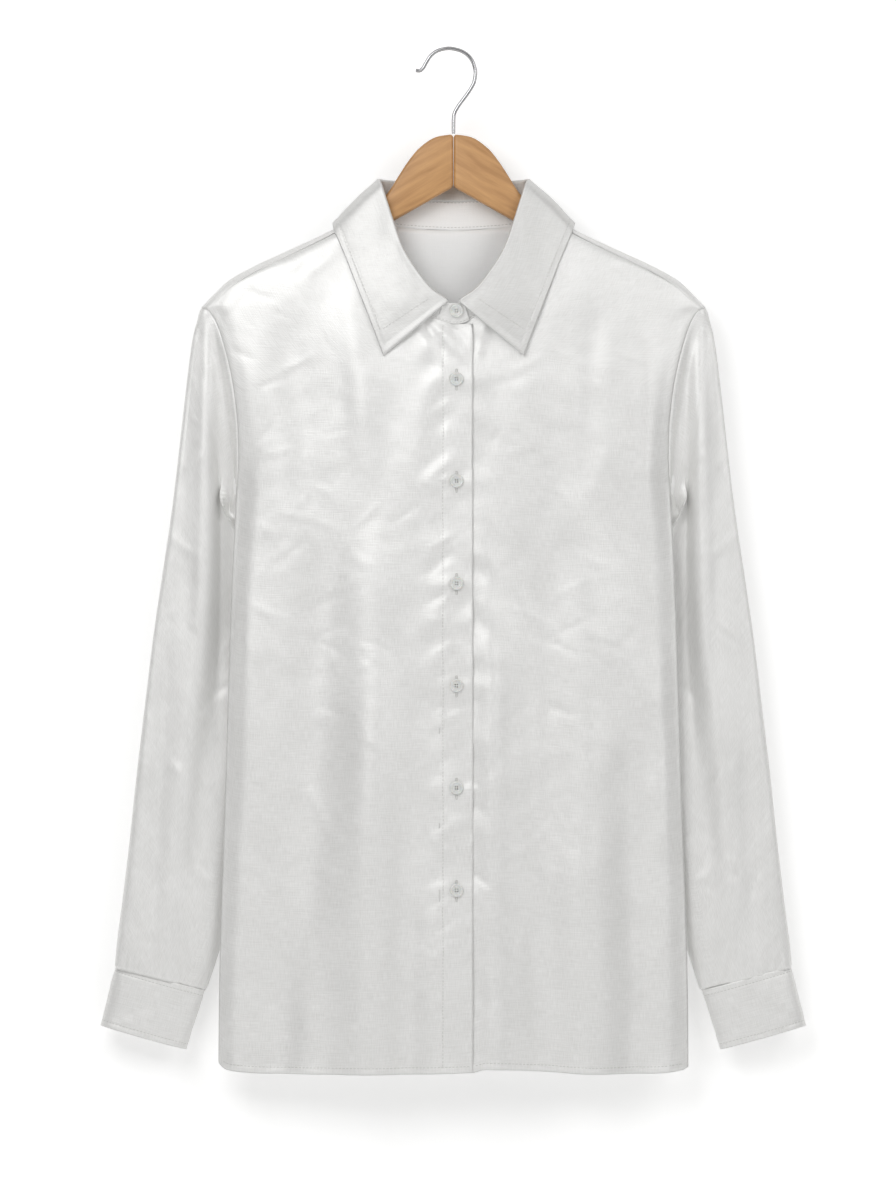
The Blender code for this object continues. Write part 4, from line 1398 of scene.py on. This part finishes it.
# %% The collar's lines
def collar_lines():
    """The collar's lines from the front to the middle of the back, with each station's up and out."""
    beyond = COLLAR[-2] * (-1, 1, 1, -1, 1, 1, -1, 1, 1, 1)
    whole = np.concatenate([COLLAR, beyond[None]])
    at = lengths(whole[:, 3:6])
    table = through(at, whole, np.linspace(0, at[-2], STATIONS))
    neck, roll, edge, share = table[:, 0:3], table[:, 3:6], table[:, 6:9], table[:, 9:10]
    up = unit(roll - neck)
    out = unit(np.cross(np.gradient(roll, axis=0), up))
    out *= np.sign(np.sum(out * (edge - roll) * (1, 1, 0)))
    up[-1, 0] = out[-1, 0] = 0.0
    neck[-1, 1:], roll[-1, 1:], edge[-1, 1:] = neck[-2, 1:], roll[-2, 1:], edge[-2, 1:]
    return neck, roll, edge, up, out, share


def from_neck(rows):
    """Level directions from the neck's middle to the points of the collar."""
    return (rows - NECK_MIDDLE) * (1, 1, 0)


# %% [markdown]
# The stand's ends are rounded and reach past the middle line, where they lap and button.


# %% The stand
def stand_end(half):
    """Columns that round off the end of the stand, from its tip inwards."""
    columns = []
    for reach in np.linspace(1, 0, STAND_TIP_COLUMNS)[:-1]:
        end = half[:, 0].copy()
        end[:, 0] -= reach * STAND_END
        middle = end[:, 2].mean()
        end[:, 2] = middle + 0.6 * reach + (end[:, 2] - middle) * (1 - 0.38 * reach**2.2 * reach)
        columns.append(end)
    return np.stack(columns, axis=1)


def make_stand():
    """The halves are alike, but the right one's front lies over the left one's."""
    neck, roll, _, up, _, share = collar_lines()
    low = neck - 0.4 * up
    high = neck + share * (roll - neck)
    heights = np.linspace(0, 1, STAND_ROWS)[:, None, None]
    halves = []
    for side, over in ((RIGHT, 1), (LEFT, -1)):
        half = low + heights * (high - low)
        lapped = (1 - smooth_step((half[..., 0] + STAND_END) / 45.0)) * (half[..., 1] < 0)
        half[..., 1] -= over * LAP * lapped
        halves.append(np.concatenate([stand_end(half), half], axis=1) * (side, 1, 1))
    rows = ring(*halves, axis=1)
    level = np.zeros(rows.shape[:2])
    girth = lengths(rows[STAND_ROWS // 2 - 1])[None]
    wave = 0.25 * rumple(girth + level, 30 * heights[..., 0] + level, 13.0, 171)
    return cloth("collar_stand", raised(rows, wave, from_neck(rows)), from_neck(rows)), rows


# %% [markdown]
# The fall's rows go up inside, over a small round turn and down outside, where the points are.


# %% The fall
def make_fall():
    """The sheet goes up from the stand's seam, over the roll and down to the outer edge."""
    neck, roll, edge, up, out, share = collar_lines()
    start = neck + share * (roll - neck) - 0.3 * up - 0.5 * out
    rise = roll - FOLD_ROUND * up
    rows = [start + t * (rise - start) for t in np.linspace(0, 1, INNER_LEAF_ROWS + 1)[:-1]]
    for angle in np.linspace(0, np.pi, TURN_ROWS):
        rows.append(rise + FOLD_ROUND * ((1 - np.cos(angle)) * out + 1.4 * np.sin(angle) * up))
    turned = rows[-1]
    for t in np.linspace(0, 1, OUTER_LEAF_ROWS + 1)[1:]:
        rows.append(turned + t * (edge - turned) + 1.6 * np.sin(np.pi * t) * out)
    half = np.stack(rows)
    rows = ring(half * (RIGHT, 1, 1), half, axis=1)
    down, along = lengths(rows), lengths(rows[-1])
    to_edge = np.minimum(down[-1:] - down, np.minimum(along, along[-1] - along)[None])
    leaf = smooth_step((np.arange(len(rows)) - 18) / 6.0)[:, None]
    welt = 0.5 * smooth_step((COLLAR_STITCH - to_edge) / 1.2 + 0.5)
    welt -= 0.35 * hill(to_edge - COLLAR_STITCH, 0.8)
    x, z = rows[..., 0], rows[..., 2]
    wave = 0.5 * rumple(x, z, 21.0, 181) + 0.2 * rumple(x, z, 9.0, 191)
    outwards = from_neck(rows) * leaf[..., None]
    rows = raised(rows, leaf * (welt + 0.8 * wave), outwards)
    return cloth("collar_fall", rows, outwards), rows


stand, stand_rows = make_stand()
fall, fall_rows = make_fall()
place_on(stand, "collar_stand")
# The collar fall takes the darker copy of the satin, painted shade.
fall.data.materials[0] = satin_painted_shade
place_on(fall, "collar_fall")

# %% [markdown]
# ## The hanger
# Each half is sawn from board with its top edge following the shoulders, and all its edges are
# rounded over. The halves meet at the middle. The hook is a plated wire, bent like a question
# mark with its tip turned up.

# %% The hanger's halves
WOOD_THICK = 14.0
WOOD_EDGE = 3.2
HANGER_GAP = 0.3
ARM_TOP = (
    # x, z along the top, from the middle to the end
    (0.0, -69.3),
    (13.0, -71.2),
    (28.0, -80.6),
    (37.4, -91.8),
    (44.9, -103.2),
    (52.5, -115.4),
    (60.0, -124.5),
    (70.0, -134.8),
    (98.0, -152.2),
    (138.0, -171.2),
    (162.0, -182.4),
    (177.0, -191.8),
    (185.5, -199.0),
    (187.5, -206.5),
    (185.5, -213.5),
    (178.0, -214.5),
)
ARM_UNDER = (
    # x, z back along the underside
    (140.0, -192.1),
    (98.0, -168.3),
    (49.7, -140.8),
    (0.0, -112.6),
)


def make_arm(name, side):
    outline = [*path(ARM_TOP, even(70)), *path(ARM_UNDER, even(26))]
    bpy.ops.mesh.primitive_circle_add(vertices=len(outline), fill_type="NGON")
    arm = bpy.context.object
    arm.name = arm.data.name = name + "_wood"
    for vertex, (x, z) in zip(arm.data.vertices, outline):
        vertex.co = (side * max(x, HANGER_GAP / 2) * MM, -WOOD_THICK / 2 * MM, z * MM)
    edit_all(arm)
    bpy.ops.mesh.extrude_region_move(TRANSFORM_OT_translate={"value": (0, WOOD_THICK * MM, 0)})
    bpy.ops.mesh.select_all(action="SELECT")
    bpy.ops.mesh.normals_make_consistent(inside=False)
    bpy.ops.object.mode_set(mode="OBJECT")
    rounding = arm.modifiers.new("rounding", "BEVEL")
    rounding.width = WOOD_EDGE * MM
    rounding.segments = 6
    rounding.limit_method = "ANGLE"
    rounding.angle_limit = math.radians(50)
    bpy.ops.object.modifier_apply(modifier=rounding.name)
    smooth(arm.data, 38)
    arm.data.materials.append(wood[side])
    print(name, len(arm.data.polygons), "faces")
    place_on(arm, name)


make_arm("hanger_arm_right", RIGHT)
make_arm("hanger_arm_left", LEFT)

# %% [markdown]
# The hook's wire is a curve through its bends with a round bevel, and the curve is made a mesh.

# %% The hook
WIRE_RADIUS = 1.6
HOOK = (
    # x, z along the wire, from the wood to the tip
    (0.0, -68.9),
    (0.0, -60.0),
    (0.4, -53.5),
    (3.4, -47.0),
    (8.4, -40.0),
    (13.4, -33.0),
    (17.0, -26.0),
    (18.1, -18.5),
    (16.2, -10.3),
    (11.4, -3.7),
    (4.2, 0.2),
    (-3.8, 1.6),
    (-11.8, 0.1),
    (-18.4, -4.2),
    (-22.6, -10.4),
    (-25.2, -14.9),
    (-28.3, -16.9),
    (-31.0, -16.6),
)


def make_hook():
    wire = bpy.data.curves.new("hanger_hook_wire", "CURVE")
    wire.dimensions = "3D"
    wire.bevel_depth = WIRE_RADIUS * MM
    wire.bevel_resolution = 6
    wire.use_fill_caps = True
    spline = wire.splines.new("POLY")
    line = path(HOOK, even(130))
    spline.points.add(len(line) - 1)
    for point, (x, z) in zip(spline.points, line):
        point.co = (x * MM, 0.0, z * MM, 1.0)
    spline.use_smooth = True
    guide = linked("hook_guide", wire)
    bpy.context.view_layer.update()
    graph = bpy.context.evaluated_depsgraph_get()
    mesh = bpy.data.meshes.new_from_object(guide.evaluated_get(graph))
    bpy.data.objects.remove(guide)
    mesh.materials.clear()
    mesh.materials.append(steel)
    place_on(linked("hook", mesh), "hanger_hook")
    print("hook", len(mesh.polygons), "faces")


make_hook()

# %% [markdown]
# ## Buttons
# A four-hole shell button is turned with a raised rim and a dished middle. The holes are drilled,
# and the thread crosses over in an X, with its shank drawn down into the cloth.

# %% The button's pattern
BUTTON_PROFILE = (
    # radius, height
    (0.0, 1.15),
    (2.6, 1.2),
    (3.3, 1.35),
    (3.8, 1.95),
    (4.3, 2.25),
    (4.8, 2.3),
    (5.3, 2.05),
    (5.6, 1.5),
    (5.5, 0.8),
    (4.9, 0.3),
    (3.5, 0.0),
    (0.0, 0.0),
)
HOLE_RADIUS = 0.62
HOLE_OFFSET = 1.25
BUTTON_GAP = 0.55


def turned_button():
    """The profile is spun about Z, and four holes are drilled through it."""
    bpy.ops.mesh.primitive_circle_add(vertices=len(BUTTON_PROFILE), fill_type="NOTHING")
    button = bpy.context.object
    for vertex, (radius, height) in zip(button.data.vertices, BUTTON_PROFILE):
        vertex.co = (radius * MM, 0, height * MM)
    profile = bmesh.new()
    profile.from_mesh(button.data)
    for edge in list(profile.edges):
        if max(v.co.x for v in edge.verts) < 1e-6:
            profile.edges.remove(edge)
    profile.to_mesh(button.data)
    profile.free()
    screw = button.modifiers.new("turn", "SCREW")
    screw.steps = screw.render_steps = 56
    screw.use_merge_vertices = True
    screw.merge_threshold = 1e-6
    bpy.ops.object.modifier_apply(modifier=screw.name)
    edit_all(button)
    bpy.ops.mesh.remove_doubles(threshold=1e-6)
    bpy.ops.mesh.normals_make_consistent(inside=False)
    bpy.ops.object.mode_set(mode="OBJECT")
    for k in range(4):
        angle = math.radians(45 + 90 * k)
        place = (HOLE_OFFSET * math.cos(angle) * MM, HOLE_OFFSET * math.sin(angle) * MM, 1.0 * MM)
        bpy.ops.mesh.primitive_cylinder_add(
            vertices=20, radius=HOLE_RADIUS * MM, depth=6.0 * MM, location=place
        )
        drill = bpy.context.object
        bpy.context.view_layer.objects.active = button
        hole = button.modifiers.new("hole", "BOOLEAN")
        hole.operation = "DIFFERENCE"
        hole.object = drill
        bpy.ops.object.modifier_apply(modifier=hole.name)
        bpy.data.objects.remove(drill)
    smooth(button.data, 45)
    button.data.materials.clear()
    button.data.materials.append(shell)
    return button


pattern = turned_button()
print("button", len(pattern.data.polygons), "faces")


# %% Cross stitches that hold a button
STRAND_RADIUS, STRAND_LENGTH = 0.22, 2.7
STRAND_SPREAD, STRAND_Z = 0.28, 1.5
SHANK_RADIUS, SHANK_HEIGHT, SHANK_Z = 1.3, 1.4, -0.2


def strand_across(turn, shift):
    """One strand across the button, with its ends down in two holes."""
    bpy.ops.mesh.primitive_cylinder_add(
        vertices=8, radius=STRAND_RADIUS * MM, depth=STRAND_LENGTH * MM
    )
    strand = bpy.context.object
    cos, sin = math.cos(math.radians(turn)), math.sin(math.radians(turn))
    for vertex in strand.data.vertices:
        x, y, z = vertex.co.z, vertex.co.y + shift * MM, vertex.co.x * 0.9 + STRAND_Z * MM
        if abs(x) > 1.2 * MM:
            x, z = x * 0.93, z - 1.2 * MM
        vertex.co = (x * cos - y * sin, x * sin + y * cos, z)
    return strand


def button_thread():
    """Two crossing pairs of strands over the button's middle, and a shank under it."""
    spread = (-STRAND_SPREAD, STRAND_SPREAD)
    parts = [strand_across(turn, shift) for turn in (45, 135) for shift in spread]
    bpy.ops.mesh.primitive_cylinder_add(
        vertices=12, radius=SHANK_RADIUS * MM, depth=SHANK_HEIGHT * MM, location=(0, 0, SHANK_Z * MM)
    )
    parts.append(bpy.context.object)
    made = join("button_thread", parts)
    made.data.materials.append(thread)
    smooth(made.data)
    return made


cross = button_thread()
print("thread", len(cross.data.polygons), "faces")


# %% Each button in its place
def surface_of(*objects):
    """A tree for finding where a line meets the cloth."""
    points, faces = [], []
    for obj in objects:
        start = len(points)
        points += [v.co.copy() for v in obj.data.vertices]
        faces += [[start + k for k in p.vertices] for p in obj.data.polygons]
    return BVHTree.FromPolygons(points, faces)


def copy_at(source, name, place, normal, node=None):
    """A copy of a pattern, its place kept in its mesh."""
    mesh = source.data.copy()
    turn = Vector(normal).to_track_quat("Z", "Y").to_matrix().to_4x4()
    turn.translation = Vector(place)
    mesh.transform(turn)
    mesh.name = name
    place_on(linked(name, mesh), node)


def meet(surface, start, direction):
    """Where a line meets the cloth, and the cloth's normal against the line."""
    point, normal, _, _ = surface.ray_cast(Vector(start) * MM, Vector(direction))
    if point is None:
        return None, None
    return point, normal if normal.dot(Vector(direction)) < 0 else -normal


def sew_on(name, point, normal):
    """A button and its thread, a little off the cloth."""
    place = point + normal * BUTTON_GAP * MM
    copy_at(pattern, name + "_shell", place, normal, name)
    copy_at(cross, name + "_thread", place, normal)


front_surface = surface_of(right_front, stand)
button_points = {"button_collar": COLLAR_BUTTON_Z}
for number, height in enumerate(button_heights, 1):
    button_points[f"button_front_{number}"] = height
for name, z in button_points.items():
    point, normal = meet(front_surface, (BUTTON_X, -200.0, z), (0, 1, 0))
    normal = (normal + Vector((0, -3.0, 0))).normalized()
    tilt = Vector((0.05 * math.sin(z), 0, 0.05 * math.cos(1.7 * z)))
    sew_on(name, point, (normal + tilt).normalized())
print("front buttons", len(button_points))

ON_LAP = -9  # the column of the cuff under its button
for name, rows, piece in (
    ("button_right_cuff", right_cuff_rows, right_cuff),
    ("button_left_cuff", left_cuff_rows, left_cuff),
):
    centre = rows[len(rows) // 2, ON_LAP]
    inside = rows[len(rows) // 2].mean(axis=0)
    out = unit((centre - inside) * np.array((0.35, 1, 0)))
    point, normal = meet(surface_of(piece), centre + out * 20.0, -out)
    sew_on(name, point, (normal + Vector(out) * 2).normalized())
bpy.data.objects.remove(pattern)
bpy.data.objects.remove(cross)

# %% [markdown]
# ## Buttonholes and stitches
# Every buttonhole is upright, sewn round with close stitches. The seams that show are topstitched
# with short even stitches, about three millimetres each, sunk a little in the satin. A row of
# stitches is one mesh of small rounded bars, laid on the cloth.

# %% Rows of stitches
STITCH_LENGTH = 2.2
STITCH_PITCH = 3.0
STITCH_RADIUS = 0.27
BAR_SIDES = 5
BAR_SHAPE = (
    # place along the bar, thickness, how far it sinks
    (0, 0.35, 0.35),
    (0.25, 1.0, 0.0),
    (0.75, 1.0, 0.0),
    (1, 0.35, 0.35),
)


def bars(name, segments, slot, radius=STITCH_RADIUS):
    """One mesh of small bars, each between two points and thinner at its ends."""
    angles = [2 * math.pi * k / BAR_SIDES for k in range(BAR_SIDES)]
    circle = [(math.cos(angle), math.sin(angle)) for angle in angles]
    whole = bmesh.new()
    for a, b, normal in segments:
        along = (b - a).normalized()
        side = along.cross(normal).normalized()
        up = side.cross(along)
        rings = []
        for t, thick, sunk in BAR_SHAPE:
            centre = a.lerp(b, t) - up * sunk * radius * MM
            reach = radius * thick * MM
            rings.append([whole.verts.new(centre + (side * c + up * s) * reach) for c, s in circle])
        for one, two in zip(rings, rings[1:]):
            for k in range(BAR_SIDES):
                n = (k + 1) % BAR_SIDES
                whole.faces.new((one[k], one[n], two[n], two[k]))
        whole.faces.new(rings[0][::-1])
        whole.faces.new(rings[-1])
    mesh = bpy.data.meshes.new(name)
    bmesh.ops.recalc_face_normals(whole, faces=whole.faces)
    whole.to_mesh(mesh)
    whole.free()
    mesh.materials.append(thread)
    smooth(mesh)
    obj = linked(name, mesh)
    place_on(obj, None)
    return obj


# %% [markdown]
# A line is drawn in front of the cloth and each stitch's ends are dropped on it, so the stitches
# follow every fold that they cross.


# %% Rows dropped on the cloth
def stitched(surface, line, way):
    """Stitches along a line of points, dropped on the cloth along the way that is given."""
    starts = (np.arange(int(lengths(line)[-1] / STITCH_PITCH)) + 0.2) * STITCH_PITCH
    ones, twos = at_lengths(line, starts), at_lengths(line, starts + STITCH_LENGTH)
    segments = []
    for one, two in zip(ones, twos):
        a, normal = meet(surface, one - way * 60, way)
        b, _ = meet(surface, two - way * 60, way)
        if a is None or b is None or (a - b).length > 2 * STITCH_LENGTH * MM:
            continue
        lift = normal * 0.10 * MM
        segments.append((a + lift, b + lift, normal))
    return segments


def down_line(x, z0, z1, sway):
    """A line down the cloth, not quite straight."""
    z = np.linspace(z0, z1, 120)
    return np.stack([x + sway * puckers(z, 201), z * 0, z], axis=1)


def hem_line(x0, x1, lift):
    """A line that keeps above the hem's edge."""
    x = np.linspace(x0, x1, 160)
    return np.stack([x, x * 0, through(HEM[:, 0], HEM[:, 1], x) + lift], axis=1)


def level_line(x0, x1, z):
    x = np.linspace(x0, x1, 160)
    return np.stack([x, x * 0, x * 0 + z], axis=1)


FORWARD, BACKWARD = np.array((0.0, 1.0, 0.0)), np.array((0.0, -1.0, 0.0))
right_surface = surface_of(right_front)
STITCH_LINES = (
    # name, piece, surface, line, way
    ("band", "front_right", right_surface, down_line(BAND_STITCH, -226.5, -838.0, 0.5), FORWARD),
    ("hem_right", "front_right", right_surface, hem_line(-190.0, 14.0, HEM_BAND), FORWARD),
    ("hem_left", "front_left", surface_of(left_front), hem_line(17.5, 190.0, HEM_BAND), FORWARD),
    ("hem_back", "back", surface_of(back), hem_line(-188.0, 188.0, HEM_BAND + BACK_HEM_LIFT), BACKWARD),
    ("yoke_back", "yoke", surface_of(yoke), level_line(-182.0, 182.0, YOKE_SEAM_Z + 2.5), BACKWARD),
)
stitch_rows = {"front_right": [], "front_left": [], "back": [], "yoke": []}
for name, key, surface, line, way in STITCH_LINES:
    segments = stitched(surface, line, way)
    stitch_rows[key].append(bars("stitches_" + name, segments, "satin_" + key))
    print(name, len(segments), "stitches")

# %% Buttonholes
HOLE_HALF = 8.2
HOLE_WIDTH = 0.85
SLIT_HALF = 0.15
HOLE_THREAD = 0.26


def buttonhole(x, z):
    """Close stitches round an upright slit."""
    ends = []
    for side in (-1, 1):
        for t in np.linspace(-HOLE_HALF, HOLE_HALF, 27):
            ends.append(((x + side * SLIT_HALF, z + t), (x + side * (HOLE_WIDTH + 0.25), z + t + 0.2)))
    for end in (-1, 1):
        bar_z = z + end * (HOLE_HALF + 0.5)
        ends.append(((x - HOLE_WIDTH, bar_z), (x + HOLE_WIDTH, bar_z)))
    segments = []
    for inner, outer in ends:
        a, normal = meet(right_surface, (inner[0], -120.0, inner[1]), FORWARD)
        b, _ = meet(right_surface, (outer[0], -120.0, outer[1]), FORWARD)
        if a and b:
            segments.append((a + normal * 0.08 * MM, b + normal * 0.08 * MM, normal))
    return segments


for number, height in enumerate(button_heights, 1):
    segments = buttonhole(BUTTON_X, height - 0.6)
    name = f"buttonhole_{number}"
    stitch_rows["front_right"].append(bars(name, segments, "satin_front_right", HOLE_THREAD))
print("buttonholes", BUTTON_COUNT, "with", len(segments), "stitches each")


# %% [markdown]
# The collar and the cuffs were made from rows of points, so their stitches follow a row or a
# line of points at the stitching's distance from the edge, and needn't be dropped on the cloth.

# %% Stitches on the collar and the cuffs
def stitch_along(key, name, line, normals):
    """A row of stitches on a line that already lies on the cloth."""
    starts = (np.arange(int(lengths(line)[-1] / STITCH_PITCH)) + 0.2) * STITCH_PITCH
    ones, twos = at_lengths(line, starts), at_lengths(line, starts + STITCH_LENGTH)
    out = unit(at_lengths(line, starts, normals))
    lift = (CLOTH / 2 + 0.08) * out
    segments = [
        (Vector((a + n) * MM), Vector((b + n) * MM), Vector(o))
        for a, b, n, o in zip(ones, twos, lift, out)
    ]
    stitch_rows.setdefault(key, []).append(bars("stitches_" + name, segments, "satin_" + key))


leaf = fall_rows[INNER_LEAF_ROWS + TURN_ROWS :]
leaf_normals = normals_of(leaf, from_neck(leaf))
from_edge = lengths(leaf[::-1])[::-1]
index = np.argmin(np.abs(from_edge - COLLAR_STITCH), axis=0)
columns = np.arange(leaf.shape[1])
INSET, FIRST_ROW = 9, 4  # columns in from each front edge, and rows down from the roll
inner = slice(INSET, -INSET)
stitch_along("collar_fall", "collar_edge", leaf[index, columns][inner], leaf_normals[index, columns][inner])
for name, column in (("right", INSET), ("left", -1 - INSET)):
    part = slice(FIRST_ROW, index[column])
    stitch_along("collar_fall", f"collar_{name}_front", leaf[part, column], leaf_normals[part, column])

stand_normals = normals_of(stand_rows, from_neck(stand_rows))
STAND_STITCHES = (
    # name, row of the stand, inside or outside
    ("stand_seam", 20, -1),
    ("neck_seam", 2, -1),
    ("stand_outside", 2, 1),
)
for name, row, face in STAND_STITCHES:
    stitch_along("collar_stand", name, stand_rows[row], face * stand_normals[row])

for key, rows in (("cuff_right", right_cuff_rows), ("cuff_left", left_cuff_rows)):
    out = normals_of(rows, from_middle(rows))
    down = lengths(rows)[:, 0]
    for place, at in (("foot", down[-1] - CUFF_STITCH), ("top", CUFF_STITCH)):
        row = int(np.argmin(np.abs(down - at)))
        stitch_along(key, f"{key}_{place}", rows[row], out[row])
print("rows of stitches", {key: len(made) for key, made in stitch_rows.items()})

# %% [markdown]
# ## The sizes that the pieces were cut to
# Each piece of cloth is printed with the flat size that it was cut to. The areas are measured on
# one layer, and the width and length are those of the smallest upright rectangle round the cut.

CUTS = (
    # piece, name, width, length in metres
    (right_front, "front_right", 0.215, 0.735),
    (left_front, "front_left", 0.188, 0.735),
    (back, "back", 0.400, 0.602),
    (yoke, "yoke", 0.430, 0.150),
    (right_sleeve, "sleeve_right", 0.250, 0.560),
    (left_sleeve, "sleeve_left", 0.250, 0.560),
    (right_cuff, "cuff_right", 0.190, 0.052),
    (left_cuff, "cuff_left", 0.190, 0.052),
    (stand, "collar_stand", 0.420, 0.030),
    (fall, "collar_fall", 0.430, 0.075),
)
for piece, name, width, length in CUTS:
    area = sheet_sizes[piece.name]
    print(name, "cut", width, "x", length, "area", round(area, 4), "share", round(area / width / length, 2))
    min(area, width * length)
